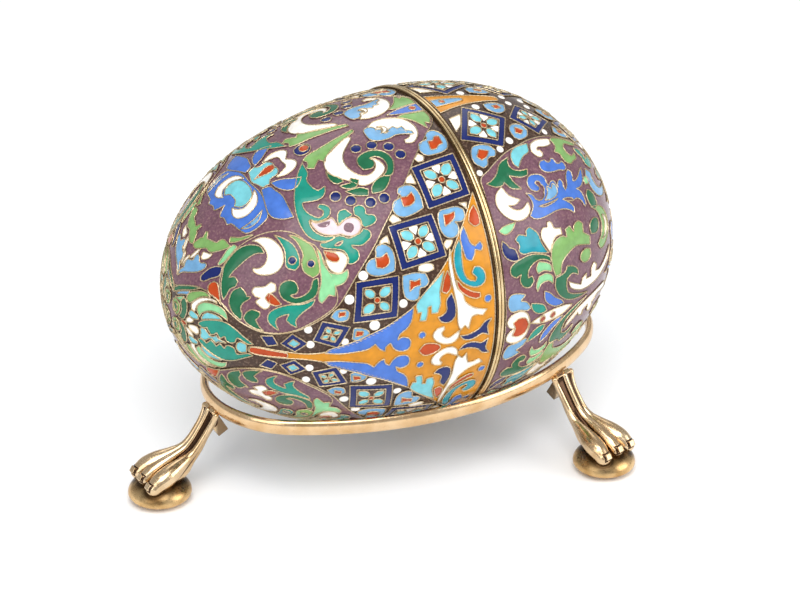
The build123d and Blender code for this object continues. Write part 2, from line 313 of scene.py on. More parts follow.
surface, outward = point_numbers(casting, "co"), point_numbers(casting, "normal")
links = np.empty(len(casting.edges) * 2, int)
casting.edges.foreach_get("vertices", links)
links = links.reshape(-1, 2)
degree = np.bincount(links.ravel(), minlength=len(surface))[:, None]
flowed = surface.copy()
for _ in range(FLOW_STEPS):
    total = np.zeros_like(flowed)
    np.add.at(total, links[:, 0], flowed[links[:, 1]])
    np.add.at(total, links[:, 1], flowed[links[:, 0]])
    flowed = total / degree
patina_and_shade = ((flowed - surface) * outward).sum(1) / FLUTE_DEPTH
# The inner side of the leg is darkened, and each nail has a dark crease cut round it.
inner_side = np.clip((INNER_FROM - surface[:, 0]) / INNER_FADE, 0, 1)
patina_and_shade = np.maximum(patina_and_shade, INNER_DARKENING * inner_side)
for nail in nails:
    away = surface - nail
    upright = away @ np.array((-nail_out[2], 0.0, nail_out[0]))
    square = np.maximum(np.abs(away[:, 1]) / NAIL_HALF[1], np.abs(upright) / NAIL_HALF[2])
    crease = (away @ nail_out > -CREASE_REACH) & (np.abs(square - CREASE_AT) < CREASE_HALF)
    surface[crease] -= CREASE_DEPTH * nail_out
    patina_and_shade[crease] = 1.0
corners = [tuple(face.vertices) for face in casting.polygons]
bpy.data.meshes.remove(casting)
for place in PLACES:
    turn = math.radians(LEG_TURNS[place])
    root = foot_middle[place] - LEG_REACH * np.array((math.cos(turn), math.sin(turn), 0.0))
    spin = np.array(
        ((math.cos(turn), math.sin(turn), 0.0), (-math.sin(turn), math.cos(turn), 0.0), (0.0, 0.0, 1.0))
    )
    leg = mesh_piece("paw_leg_" + place, surface @ spin + root, corners, polished_gilt)
    leg.data.attributes.new("patina_and_shade", "FLOAT", "POINT").data.foreach_set("value", patina_and_shade)
    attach(leg, "stand")
    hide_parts("leg_" + place)
    # Painted shade on the ball: darker close to the paw, which shades it, and on its crown under the paw.
    ball = bpy.data.objects["foot_" + place].data
    paw = KDTree(len(leg.data.vertices))
    for vertex in leg.data.vertices:
        paw.insert(vertex.co, vertex.index)
    paw.balance()
    away = np.array([paw.find(vertex.co)[2] for vertex in ball.vertices]) / MM
    height = np.array([vertex.co.z for vertex in ball.vertices]) / MM
    under_paw = np.clip(1 - away / PAW_SHADE_REACH, 0, 1)
    crown = CROWN_SHADE * np.clip((height - CROWN_FROM) / CROWN_FADE, 0, 1)
    shaded = ball.attributes.new("patina_and_shade", "FLOAT", "POINT")
    shaded.data.foreach_set("value", np.maximum(under_paw, crown))


# Stand ring: one strip of silver gilt with an oval section, bent egg-shaped and soldered closed.
# The egg lies loose in it, on the rims of its parting line.
RING_THICKNESS, RING_DEPTH, RING_HALF_WIDTH = 1.8, 3.4, 27.4
RING_STEPS, STRIP_SIDES = 288, 32
# Each end's length from the ring's middle and the radius of its arc, towards the tip and the blunt end.
RING_ENDS = {-1: (46.4, 19.9), 1: (42.0, 20.2)}
ring_low, ring_high = (np.array(corner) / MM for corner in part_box("stand_ring"))
ring_middle = (ring_low + ring_high) / 2
ring_middle[0] = ring_low[0] + RING_THICKNESS / 2 + RING_ENDS[-1][0]
ring_points, ring_faces = [], []
for i in range(RING_STEPS):
    heading = 2 * math.pi * (i + 0.5) / RING_STEPS
    along, across = math.cos(heading), math.sin(heading)
    length, end_radius = RING_ENDS[1 if along > 0 else -1]
    side_radius = (length ** 2 + RING_HALF_WIDTH ** 2 - 2 * length * end_radius) / (
        2 * (RING_HALF_WIDTH - end_radius)
    )
    end_x, side_y = length - end_radius, side_radius - RING_HALF_WIDTH
    if math.atan2(abs(across), abs(along)) < math.atan2(side_y, end_x):
        middle = (math.copysign(end_x, along) + end_radius * along, end_radius * across)
    else:
        middle = (side_radius * along, side_radius * across - math.copysign(side_y, across))
    for k in range(STRIP_SIDES):
        lean = 2 * math.pi * k / STRIP_SIDES
        out = RING_THICKNESS / 2 * math.cos(lean)
        ring_points.append(
            (middle[0] + out * along, middle[1] + out * across, RING_DEPTH / 2 * math.sin(lean))
        )
for i in range(RING_STEPS):
    n = (i + 1) % RING_STEPS
    for k in range(STRIP_SIDES):
        m = (k + 1) % STRIP_SIDES
        ring_faces.append(
            (i * STRIP_SIDES + k, n * STRIP_SIDES + k, n * STRIP_SIDES + m, i * STRIP_SIDES + m)
        )
ring_gilt = gilt("satin_gilt_strip", "#E4C49A", "#CFA878", 0.18)
ring = mesh_piece("oval_ring", np.array(ring_points) + ring_middle, ring_faces, ring_gilt)
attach(ring, "stand")
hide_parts("stand_ring")


# Pointed shell and sleeve: the longer half, raised from sheet silver and gilded inside.
# The sleeve is a thin band soldered in its mouth, which the other half pushes on to.
inside_gilt = gilt("gilded_inside", "#D8B36C", "#BC9250", 0.3)


def dress(node, material):
    """Gives a CAD piece that keeps its shape its finish."""
    nodes[node].data.materials.clear()
    nodes[node].data.materials.append(material)


dress("pointed_shell", inside_gilt)
dress("inner_sleeve", inside_gilt)


# Pointed rim: a half-round silver-gilt bead, soldered round the mouth and polished by handling.
# The matching rim of the other half meets it at the parting line.
EGG_RADIUS, ENAMEL_THICKNESS = 34.5, 0.8
PARTING_GAP, RIM_WIDTH, RIM_PROUD = 0.1, 0.6, 0.3
RIM_STEPS, RIM_SIDES, RIM_FULLNESS = 12, 256, 0.6
rim_low, rim_high = (np.array(corner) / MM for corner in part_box("pointed_rim"))
SEAM_X = rim_high[0] + PARTING_GAP / 2
AXIS_Z = (rim_low[2] + rim_high[2]) / 2
EGG_MIDDLE = np.array((SEAM_X, 0.0, AXIS_Z))
rim_gilt = gilt("polished_gilt_rim", "#E2CBA0", "#C6A877", 0.24)


def half_round_rim(name, side, node, body):
    """One rim bead. Side is -1 for the pointed half and 1 for the blunt half."""
    inner, foot, top = EGG_RADIUS - ENAMEL_THICKNESS, PARTING_GAP / 2, PARTING_GAP / 2 + RIM_WIDTH
    profile = [(inner, foot)]
    for i in range(RIM_STEPS + 1):
        a = math.radians(180 * i / RIM_STEPS)
        proud = RIM_PROUD * math.sin(a) ** RIM_FULLNESS
        profile.append((EGG_RADIUS + proud, foot + RIM_WIDTH * (1 - math.cos(a)) / 2))
    profile += [(inner, top), (inner, foot)]
    points, faces = turned([(r, side * along) for r, along in profile[::side]], RIM_SIDES)
    piece = mesh_piece(name, points + EGG_MIDDLE, faces, rim_gilt)
    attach(piece, body)
    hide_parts(node)


half_round_rim("rim_pointed", -1, "pointed_rim", "pointed_half")


# Cell wires: silver wire twisted in pairs and gilded, bent to every outline of the drawing and
# soldered on edge to the shell. It stands a hair proud of the enamel and glints along its twist.
POINTED_LENGTH, BLUNT_LENGTH, EGG_FULLNESS = 56.5, 43.5, 2.23
PROFILE_STATIONS = 3001
BORDER_WIRE, BORDER_STATION, BORDER_STEPS = 0.26, 0.88, 480
CELL_WIRE, WIRE_FLATNESS, TWIST_PITCH, WIRE_STEP = 0.25, 0.62, 0.9, 0.22
WIRE_PIECES = 3


def meridian(length):
    """Stations along one half's profile: distance from the parting, along, radius, and outward normal."""
    sweep = np.linspace(0, np.pi / 2, PROFILE_STATIONS)
    along = length * np.sin(sweep)
    radius = EGG_RADIUS * np.sqrt(np.maximum(0, 1 - np.sin(sweep) ** EGG_FULLNESS))
    dx, dr = np.gradient(along), np.gradient(radius)
    step = np.hypot(dx, dr)
    travel = np.concatenate(([0.0], np.cumsum(np.hypot(np.diff(along), np.diff(radius)))))
    return travel, along, radius, -dr / step, dx / step


MERIDIANS = {-1: meridian(POINTED_LENGTH), 1: meridian(BLUNT_LENGTH)}


def on_egg(turn, travel, lift):
    """Points on the egg: degrees from the top towards the front, mm from the parting, mm of lift."""
    side = 1 if np.mean(travel) > 0 else -1
    stations, along, radius, lean, rise = MERIDIANS[side]
    far = np.abs(travel)
    x = np.interp(far, stations, along) + np.interp(far, stations, lean) * lift
    r = np.interp(far, stations, radius) + np.interp(far, stations, rise) * lift
    angle = np.radians(turn)
    return np.stack((side * x, -r * np.sin(angle), r * np.cos(angle)), -1) + EGG_MIDDLE


def rule(name, inputs, output):
    """Empty Geometry Nodes tree with named inputs, and the identifier of each input."""
    tree = bpy.data.node_groups.new(name, "GeometryNodeTree")
    sockets = {}
    for label, kind in inputs.items():
        socket = tree.interface.new_socket(label, in_out="INPUT", socket_type="NodeSocket" + kind)
        sockets[label] = socket.identifier
    tree.interface.new_socket(output, in_out="OUTPUT", socket_type="NodeSocketGeometry")
    return tree, sockets


def grown(name, seed, tree, sockets, settings):
    """Piece that a Geometry Nodes tree grows on a seed mesh, left as a plain mesh."""
    planted = bpy.data.objects.new(name + "_seed", seed)
    bpy.context.collection.objects.link(planted)
    growth = planted.modifiers.new("growth", "NODES")
    growth.node_group = tree
    for label, value in settings.items():
        growth[sockets[label]] = value
    evaluated = planted.evaluated_get(bpy.context.evaluated_depsgraph_get())
    made = bpy.data.meshes.new_from_object(evaluated)
    bpy.data.objects.remove(planted)
    made.name = name
    piece = bpy.data.objects.new(name, made)
    bpy.context.collection.objects.link(piece)
    return piece


twist_tree, WIRE_INPUTS = rule("twisted_wire", {
    "Path": "Geometry", "Width": "Float", "Thickness": "Float", "Pitch": "Float", "Step": "Float",
    "Finish": "Material",
}, "Wire")
given = add_node(twist_tree, "NodeGroupInput").outputs
paths = add_node(twist_tree, "GeometryNodeMeshToCurve", [("Mesh", given["Path"])])
even = add_node(
    twist_tree, "GeometryNodeResampleCurve",
    [("Curve", paths.outputs[0]), ("Length", given["Step"])], mode="LENGTH",
)
reach = add_node(twist_tree, "GeometryNodeSplineParameter").outputs["Length"]
turns = add_node(twist_tree, "ShaderNodeMath", [(0, reach), (1, given["Pitch"])], operation="DIVIDE")
tilt = add_node(
    twist_tree, "ShaderNodeMath", [(0, turns.outputs[0]), (1, math.pi)], operation="MULTIPLY"
)
twisted = add_node(
    twist_tree, "GeometryNodeSetCurveTilt", [("Curve", even.outputs[0]), ("Tilt", tilt.outputs[0])]
)
strand = add_node(
    twist_tree, "GeometryNodeCurvePrimitiveQuadrilateral",
    [("Width", given["Width"]), ("Height", given["Thickness"])], mode="RECTANGLE",
)
drawn = add_node(
    twist_tree, "GeometryNodeCurveToMesh",
    [("Curve", twisted.outputs[0]), ("Profile Curve", strand.outputs[0])],
)
whole = add_node(twist_tree, "GeometryNodeRealizeInstances", [("Geometry", drawn.outputs[0])])
clad = add_node(
    twist_tree, "GeometryNodeSetMaterial", [("Geometry", whole.outputs[0]), ("Material", given["Finish"])]
)
add_node(twist_tree, "NodeGroupOutput", [("Wire", clad.outputs[0])])
wire_gilt = gilt("gilt_twisted_wire", "#E6D3B0", "#CDB48A", 0.3)
# The wire beside each rim is coloured dark as painted shade: it lies in the rim's shade.
shaded_gilt = gilt("painted_shade_gilt_wire", "#7A5F3C", "#4A3823", 0.4)


def twisted_wire(name, loops, width, finish, body):
    """Twisted wire along closed loops of points in millimetres."""
    edges, start = [], 0
    for loop in loops:
        edges += [(start + i, start + (i + 1) % len(loop)) for i in range(len(loop))]
        start += len(loop)
    path = bpy.data.meshes.new(name + "_path")
    path.from_pydata(np.vstack(loops) * MM, edges, [])
    piece = grown(name, path, twist_tree, WIRE_INPUTS, {
        "Width": width * MM, "Thickness": width * WIRE_FLATNESS * MM, "Pitch": TWIST_PITCH * MM,
        "Step": WIRE_STEP * MM, "Finish": finish,
    })
    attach(piece, body)
    return piece


around = np.linspace(0, 360, BORDER_STEPS, endpoint=False)
for half, side in (("pointed", -1), ("blunt", 1)):
    edge_loop = on_egg(around, np.full(BORDER_STEPS, side * BORDER_STATION), 0.0)
    border = twisted_wire("border_" + half, [edge_loop], BORDER_WIRE, shaded_gilt, half + "_half")
    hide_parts(half + "_border_wire")


# Pointed enamel: glass powder fired between the wires, several colours to a flower, ground flush.
# One quarter of the drawing is set out here, and it is mirrored and turned to go round the egg.
GROUND_SINK, LEVEL_STEP, WIRE_LIFT = -0.36, 0.09, 0.02
CELL_CROWN, CROWN_REACH, EDGE_TUCK, TUCK_REACH = 0.06, 0.9, 0.03, 0.12
# Drawing: the step along an outline, the turn that stays a sharp corner, the degrees within which a
# point snaps to a mirror line, and how far the whole drawing is rolled round the egg.
OUTLINE_STEP, CORNER_TURN, MIRROR_SNAP, FACE_TURN = 0.3, math.radians(62), 0.35, 6.8
# Spacing of the points inside a cell, and how near to its edge they may come.
CELL_FILL, FINE_FILL, COARSE_FILL, FILL_CLEAR = 0.75, 0.5, 1.8, 0.4
# Lozenges: the width of the frame, the least share of the ground, and the share of a plain heart.
# Petals and fillings are drawn by their way out from the middle and their way aside.
FRAME_WIDTH, LEAST_GROUND, PLAIN_HEART, EYE = 1.4, 0.58, 0.45, 0.2
DEGREES_PER_MM, PETAL_WIDTH = 1.65, 0.16
PETAL = [(0.21, 0.0), (0.34, 1.1), (0.65, 1.23), (0.86, 0.0), (0.65, -1.23), (0.34, -1.1)]
FILLING = [
    (0.3, 0.0), (0.45, 0.1), (0.6, 0.19), (0.69, 0.16), (0.69, -0.16), (0.6, -0.19), (0.45, -0.1),
]
ENAMELS = {
    name: np.array(linear(code)) for name, code in {
        "plum": "#6E4B58", "orange": "#C8841A", "brown": "#402C20", "sky": "#6E9FC6", "blue": "#446EBE",
        "navy": "#15235F", "teal": "#188774", "aqua": "#1C8C9C", "turquoise": "#72BFC8",
        "bottle": "#1E6342", "leaf": "#77A15C", "mint": "#84C48E", "white": "#F4EFE6",
        "red": "#AE4113", "rust": "#9C4A37", "blush": "#D6C0C5",
    }.items()
}
# The ground colours take a speckle of their own, which the finish reads from this mark.
GROUND_MARK = {"plum": 0.5, "brown": 0.0}


def mm_per_degree(travel):
    """Width of one degree of turn at a distance from the parting."""
    stations, _, radius, _, _ = MERIDIANS[1 if travel > 0 else -1]
    return max(0.02, np.interp(abs(travel), stations, radius) * math.pi / 180)


def smooth_loop(points):
    """Closed smooth line through points of (degrees, mm), sharp where they turn a corner."""
    p = np.array(points, float)
    scale = np.array((mm_per_degree(p[:, 1].mean()), 1.0))
    p = p * scale
    ahead = np.roll(p, -1, 0) - p
    behind = p - np.roll(p, 1, 0)
    turn = np.abs(np.arctan2(
        behind[:, 0] * ahead[:, 1] - behind[:, 1] * ahead[:, 0], (behind * ahead).sum(1)
    ))
    chord = ahead + behind
    chord /= np.maximum(np.linalg.norm(chord, axis=1), 1e-9)[:, None]
    line = []
    for i in range(len(p)):
        j = (i + 1) % len(p)
        length = np.linalg.norm(ahead[i])
        leave = ahead[i] if turn[i] > CORNER_TURN else chord[i] * length
        arrive = ahead[i] if turn[j] > CORNER_TURN else chord[j] * length
        steps = max(2, int(length / OUTLINE_STEP))
        for t in np.arange(steps) / steps:
            line.append(
                p[i] + t * leave
                + t * t * (3 * ahead[i] - 2 * leave - arrive)
                + t ** 3 * (leave + arrive - 2 * ahead[i])
            )
    return np.array(line) / scale


def filled(loop, spacing):
    """Triangles that fill a loop, with points inside it, and each point's distance from the edge."""
    scale = np.array((mm_per_degree(loop[:, 1].mean()), 1.0))
    edge = loop * scale
    ahead = np.roll(edge, -1, 0)
    if (edge[:, 0] * ahead[:, 1] - edge[:, 1] * ahead[:, 0]).sum() < 0:
        edge = edge[::-1]
    low, high = edge.min(0), edge.max(0)
    xs = np.arange(low[0] + spacing / 2, high[0], spacing)
    ys = np.arange(low[1] + spacing / 2, high[1], spacing)
    grid = np.stack(np.meshgrid(xs, ys), -1).reshape(-1, 2)
    if len(grid):
        grid[:, 0] += (np.arange(len(grid)) // max(1, len(xs)) % 2) * spacing / 2
        a, b = edge, np.roll(edge, -1, 0)
        above = (a[None, :, 1] > grid[:, None, 1]) != (b[None, :, 1] > grid[:, None, 1])
        rise = np.where(b[:, 1] == a[:, 1], 1e-9, b[:, 1] - a[:, 1])
        cross = (b[:, 0] - a[:, 0]) * (grid[:, None, 1] - a[:, 1]) / rise + a[:, 0]
        inside = (above & (grid[:, None, 0] < cross)).sum(1) % 2 == 1
        gap = np.sqrt(((grid[:, None] - edge[None]) ** 2).sum(2)).min(1)
        grid = grid[inside & (gap > FILL_CLEAR * spacing)]
    points = [Vector(p) for p in np.vstack((edge, grid))]
    made, _, faces, *_ = delaunay_2d_cdt(points, [], [list(range(len(edge)))], 1, 1e-5)
    made = np.array([(v.x, v.y) for v in made])
    depth = np.sqrt(((made[:, None] - edge[None]) ** 2).sum(2)).min(1)
    return made / scale, depth, [tuple(f) for f in faces]


class EnamelHalf:
    """The cells and wires of one half, stamped round the egg from a quarter of the drawing."""

    def __init__(self, low_line, high_line):
        self.low_line, self.high_line = low_line, high_line
        self.points, self.tints, self.faces, self.start = [], [], [], 0
        self.loops, self.pearls = [], []

    def turn_of(self, drawn):
        """Degrees from the first mirror line: the drawing's mirror lines lean a little."""
        low = self.low_line[0] + self.low_line[1] * drawn[:, 1]
        high = self.high_line[0] + self.high_line[1] * drawn[:, 1]
        return 90 * (drawn[:, 0] - low) / (high - low)

    def copies(self, turn, line):
        """Turns of a shape's copies, and if each is mirrored. Line is None off the mirror lines."""
        for half_turn in (0, 180):
            yield FACE_TURN + half_turn + turn, False
            if line is None:
                yield FACE_TURN + half_turn - turn, True

    def cell(self, colour, level, outline, line=None, spacing=CELL_FILL, wire=True):
        """One cell of enamel inside its wire. Line 0 or 90 closes a half outline on that mirror line."""
        drawn = np.array(outline, float)
        plan = np.stack((self.turn_of(drawn), drawn[:, 1]), 1)
        if line is not None:
            plan[np.isnan(plan[:, 0]), 0] = line
            plan[np.abs(plan[:, 0] - line) < MIRROR_SNAP, 0] = line
            across = plan[::-1][plan[::-1, 0] != line]
            plan = np.vstack((plan, np.stack((2 * line - across[:, 0], across[:, 1]), 1)))
        loop = smooth_loop(plan)
        plan, depth, faces = filled(loop, spacing)
        near = np.clip(depth / TUCK_REACH, 0, 1)
        dome = np.sin(np.clip(depth / CROWN_REACH, 0, 1) * math.pi / 2) * (level > 1)
        lift = GROUND_SINK + level * LEVEL_STEP - EDGE_TUCK * (1 - near) + CELL_CROWN * dome
        tint = np.repeat(ENAMELS[colour][None], len(plan), 0)
        tint[:, 3] = GROUND_MARK.get(colour, 1.0)
        for way, mirrored in self.copies(plan[:, 0], line):
            self.points.append(on_egg(way, plan[:, 1], lift))
            self.tints.append(tint)
            self.faces += [
                tuple(c + self.start for c in (f[::-1] if mirrored else f)) for f in faces
            ]
            self.start += len(plan)
        if wire:
            height = GROUND_SINK + level * LEVEL_STEP + WIRE_LIFT
            for way, _ in self.copies(loop[:, 0], line):
                self.loops.append(on_egg(way, loop[:, 1], np.full(len(loop), height)))

    def dot(self, colour, level, at, radius, line=None):
        """Round cell."""
        span = radius / mm_per_degree(at[1]) / 90 * (self.high_line[0] - self.low_line[0])
        ring = [math.radians(30 * i) for i in range(12)]
        if line is not None:
            ring = [math.radians(-90 + 22.5 * i) for i in range(9)]
            axis = self.low_line if line == 0 else self.high_line
            at = (axis[0] + axis[1] * at[1], at[1])
        sign = -1 if line == 90 else 1
        outline = [(at[0] + sign * span * math.cos(a), at[1] + radius * math.sin(a)) for a in ring]
        self.cell(colour, level, outline, line=line, spacing=FINE_FILL)

    def lozenge(self, corners, plain=None, filling=True):
        """Framed square of the band, with a dark ground, four petals, a red eye and white fillings."""
        c = np.array(corners, float)
        middle = c.mean(0)
        self.cell("navy", 1, c)
        if plain:
            self.cell(plain, 2, middle + (c - middle) * PLAIN_HEART)
            return
        sides = (c - np.roll(c, 1, 0)) * (mm_per_degree(middle[1]), 1.0)
        half = np.linalg.norm(sides, axis=1).mean() / 2
        inner = max(LEAST_GROUND, 1 - FRAME_WIDTH / half)
        self.cell("brown", 2, middle + (c - middle) * inner)
        for corner in c:
            way = (corner - middle) * inner
            aside = np.array((-way[1] * DEGREES_PER_MM, way[0] / DEGREES_PER_MM)) * PETAL_WIDTH
            self.cell("turquoise", 3, [middle + way * b + aside * w for b, w in PETAL], spacing=FINE_FILL)
        self.dot("red", 3, middle, EYE * half * inner)
        for i in range(4 if filling else 0):
            way, aside = (c[i] + c[(i + 1) % 4]) / 2 - middle, (c[(i + 1) % 4] - c[i]) / 2
            spot = [middle + way * b + aside * w for b, w in FILLING]
            self.cell("white", 3, spot, spacing=FINE_FILL, wire=False)

    def pearl(self, at, radius):
        """Round white drop of enamel, left standing."""
        turn = self.turn_of(np.array([at], float))
        for way, _ in self.copies(turn, None):
            self.pearls.append((way[0], at[1], radius))


pointed = EnamelHalf((6.6, 0.06), (97.6, -0.025))

# The plum cartouche, which lies along the top and the underside.
pointed.cell("plum", 1, [
    (None, -1.3), (14.8, -1.3), (20.6, -4.6), (25, -7.4), (30, -10.4), (35, -13.1), (40, -15.9),
    (45, -18.7), (50, -21.5), (55, -24), (60, -26.7), (65, -29.3), (70, -31.5), (75, -33.7),
    (79.3, -36.7), (82.1, -39.3), (84.6, -42), (86.1, -44.7), (86.6, -47), (86, -49), (84.6, -50.7),
    (81.4, -52.7), (77.9, -54.2), (72.9, -55.5), (67.9, -56.3), (64, -57), (56, -58.7), (48, -60.3),
    (40, -62), (30, -64.3), (20, -65.8), (None, -67),
], line=0, spacing=COARSE_FILL)
pointed.cell("blue", 2, [(None, -9.2), (7.6, -6.8), (8.5, -4), (9.1, -1.5), (None, -1.5)], line=0)
pointed.dot("red", 3, (6.4, -3.2), 0.7, line=0)
pointed.cell("leaf", 2, [
    (9, -7.8), (10.5, -6.7), (13, -5.3), (15.4, -4.5), (18.4, -3.6), (15.2, -3.2), (16.6, -2.4),
    (13.6, -1.5), (9.5, -1.5), (9, -4), (8.4, -6.2),
])
pointed.cell("white", 2, [
    (8.6, -14.4), (7.2, -12.6), (7.4, -10.2), (9.2, -7.9), (12.2, -6.4), (16, -5.8), (19.4, -6.2),
    (21.9, -7.4), (22.7, -8.6), (22, -9.7), (20.7, -9.7), (20.1, -8.4), (18.6, -7.9), (16, -8.8),
    (14.8, -11), (15, -12.6), (13, -13.6), (10.6, -13.4),
])
pointed.cell("sky", 3, [
    (9.3, -14.4), (9.8, -15.6), (12.5, -16), (15.6, -15.8), (17.5, -14.4), (17.9, -12.3), (17.4, -10.6),
    (18.2, -8.8), (19.4, -7.1), (17.6, -7.1), (16.4, -8.1), (14.2, -8.3), (14.6, -9.4), (13, -10),
    (13.8, -11.1), (15, -11.9), (14.2, -12.9), (12.6, -12.4), (11.8, -13.3), (10.4, -13.6),
])
pointed.cell("white", 4, [
    (10.8, -13), (12, -12.2), (13.4, -12.3), (14.4, -12.9), (14.6, -12), (13.2, -11.3), (11.4, -11.8),
])
pointed.cell("leaf", 2, [
    (6.9, -17.4), (7.6, -20), (8.3, -23), (9, -26), (9.3, -28.4), (10.6, -29.9), (13, -29.4),
    (15.4, -30.2), (17.2, -29), (14.2, -27.2), (16.8, -26.3), (14.4, -25.5), (13.6, -24.3),
    (11.4, -21.8), (9.8, -19.6), (8.4, -17.4),
])
pointed.dot("navy", 2, (5, -28.4), 1.75, line=0)
pointed.dot("red", 3, (5, -28), 1.0, line=0)
pointed.cell("white", 2, [
    (None, -32.3), (8.6, -31), (11.4, -31.6), (12.8, -34), (11, -36.3), (9.9, -34.5), (8.3, -33.2),
    (None, -33.2),
], line=0)
pointed.cell("white", 2, [
    (10, -19), (10, -20.25), (11.6, -22.75), (13.75, -24.9), (16.25, -26.5), (20.6, -27.1), (25, -26.2),
    (28.75, -24.3), (32.5, -22.4), (33.1, -20.9), (31.9, -18.4), (29.4, -16.5), (26.9, -16.5),
    (24.1, -17.4), (23.1, -18.4), (25, -17.75), (27.5, -18.1), (29.4, -19.6), (28.75, -21.5),
    (25, -22.9), (20.6, -23.2), (16.9, -22.4), (13.75, -20.6), (11.25, -19),
])
pointed.cell("bottle", 3, [
    (27.5, -19.3), (26.9, -20.6), (24.1, -21), (21.25, -20.4), (20.1, -18.4), (20.9, -16.2),
    (23.4, -14.7), (26.9, -14.2), (30.6, -14.9), (32.6, -16), (31.9, -17.6), (30.3, -16.4),
    (28.1, -15.8), (25.4, -16), (23.5, -17), (23.2, -18.2), (25.2, -17.8), (27.2, -18.4),
])
pointed.cell("bottle", 3, [
    (32.8, -16.2), (35.2, -17.2), (37.4, -19), (37, -21.2), (34.8, -20.8), (32.6, -19.4), (32, -17.8),
])
pointed.cell("bottle", 3, [
    (20.9, -27.4), (25, -27.6), (28.1, -26.8), (28.4, -25.25), (26.25, -25.6), (23.75, -26.7),
])
pointed.cell("bottle", 3, [
    (29.4, -26.5), (31.9, -25.25), (32.2, -23.4), (30, -22.4), (28.1, -23.7), (30, -24.3),
])
pointed.cell("bottle", 3, [(32.5, -25.9), (35.6, -24.3), (37.2, -22.1), (35, -21.5), (33.1, -23)])
for at in (
    (16.9, -19.5), (18, -16.3), (21.25, -13.4), (25.9, -12.1), (32.8, -28.1), (36.6, -25.7),
    (39.9, -22.2), (40, -19.3),
):
    pointed.dot("navy", 2, at, 1.1)
pointed.cell("teal", 3, [
    (11.4, -30), (15.7, -32.3), (21.4, -34.3), (25, -35.3), (28.6, -36), (33, -36.5), (37, -36.7),
    (40, -36.6), (43, -36.3), (45, -35.8), (46.6, -35.1), (47.8, -34.1), (48.6, -32.9), (48.8, -31.9),
    (48.1, -31.2), (47.5, -31.6), (47, -32.5), (46.1, -33.3), (44.8, -34), (43, -34.6), (40.6, -34.9),
    (38.3, -34.8), (37.6, -34.5), (39.2, -33.7), (39.9, -32.6), (39.8, -31.5), (39.1, -30.7),
    (37.7, -30.2), (36.3, -30.1), (34.8, -30.5), (33.4, -31.4), (33.3, -31.9), (34.3, -32.2),
    (35.2, -31.9), (36.3, -31.5), (37.6, -31.7), (38.4, -32.3), (38.2, -33), (37.2, -33.5), (35.9, -34),
    (34, -34.5), (31.5, -34.7), (29.3, -34.5), (30.4, -33), (31.2, -31.6), (30.8, -30.4), (29.2, -29.5),
    (26.9, -29), (27.5, -30.6), (25, -31.3), (20.6, -31.5), (18.1, -30.6), (11.6, -30.25),
])

pointed.cell("blush", 2, [
    (37.8, -34.3), (39.5, -34.6), (42, -34.3), (44.5, -33.6), (46.3, -32.4), (47.4, -31), (47.6, -30),
    (49, -29), (49.8, -27.8), (49.3, -26.6), (47.8, -25.8), (46, -25.5), (44, -25.9), (42.9, -26.8),
    (42.6, -28), (43.3, -29.3), (44.3, -30), (42.5, -30.1), (40.2, -30.4), (40.4, -32), (40.2, -33.2),
    (39.4, -34),
])
pointed.cell("teal", 3, [
    (48.5, -34.2), (49.6, -34.5), (50.9, -33.9), (52, -32.7), (53, -31.4), (54.3, -30.4), (56.3, -30),
    (58.4, -30), (59.4, -30.4), (59.9, -29.5), (59.6, -28.7), (58.6, -28), (57, -27.7), (55.4, -27.8),
    (54, -28.5), (53, -28.7), (53.9, -27.4), (54.1, -26.5), (53.4, -25.6), (52.4, -24.7), (51, -24.3),
    (49.6, -24.5), (48.3, -25.4), (49.5, -26.2), (50, -27.4), (50.2, -28.8), (49.4, -29.3), (48.4, -30),
    (48, -31), (48.5, -32), (49, -33),
])
pointed.cell("teal", 3, [
    (39.6, -25.7), (41, -26), (42.5, -26.1), (43.5, -25.6), (45, -25.3), (47, -25.4), (48, -25.1),
    (48.1, -24.2), (47.8, -23.2), (47, -22.5), (45.8, -22.3), (44.6, -22.7), (44, -23.6), (43.2, -24),
    (41.6, -23.7), (40.2, -24), (39.4, -24.8),
])
pointed.cell("teal", 3, [
    (38.9, -28.2), (39.3, -28.9), (41, -29.4), (43.2, -29.7), (44.2, -29.6), (43.2, -28.7),
    (42.6, -27.8), (42.4, -26.8), (41.8, -26.5), (40.6, -27), (39.3, -27.3),
])
pointed.cell("plum", 4, [(50.4, -30), (51.4, -30.4), (51.8, -31.2), (51.2, -31.8), (50.6, -31.2)])
# Here the enamel is worn through to its pale underside in places.
pointed.cell("plum", 3, [
    (40.8, -33.6), (42, -33.4), (43, -32.4), (42.6, -31.4), (41.4, -31), (40.9, -32),
], wire=False)
pointed.cell("plum", 3, [
    (44.3, -28.3), (45.5, -29), (47, -29), (48.4, -28), (47.6, -27.3), (46, -27), (44.8, -27.4),
], wire=False)
# The lily at the middle of the cartouche.
pointed.cell("blue", 2, [
    (None, -47.5), (6, -49.2), (7.9, -49.8), (10.7, -49.3), (16.4, -49.5), (17.5, -48.7), (23.6, -48),
    (28.6, -47), (29.6, -45.3), (28.9, -43.3), (27.1, -41.7), (23.6, -41.2), (15, -40.5), (None, -40.8),
], line=0)
pointed.cell("sky", 3, [
    (24.5, -47.5), (26.8, -46.2), (26.6, -43.8), (22.5, -42), (24.2, -44), (24.7, -46),
])
pointed.cell("turquoise", 3, [
    (None, -45.2), (7, -45.3), (10, -46.2), (13.2, -45.2), (13.9, -43.8), (12, -42.2), (8, -41.5),
    (None, -41.4),
], line=0)
pointed.cell("white", 3, [
    (9.3, -46.7), (12.9, -47.4), (17.1, -47.2), (19.6, -45.7), (19.5, -44), (17.1, -42.1),
    (12.9, -41.2), (9.4, -41.1), (12, -42), (14.4, -43.3), (14.8, -45), (12.4, -46.2),
])
pointed.cell("blue", 3, [
    (12.1, -40), (23.6, -41.2), (28.6, -41), (32.1, -39.3), (33.6, -37.2), (27.1, -37.2), (21.4, -37.2),
    (17.1, -37.8), (13.6, -38.3),
])
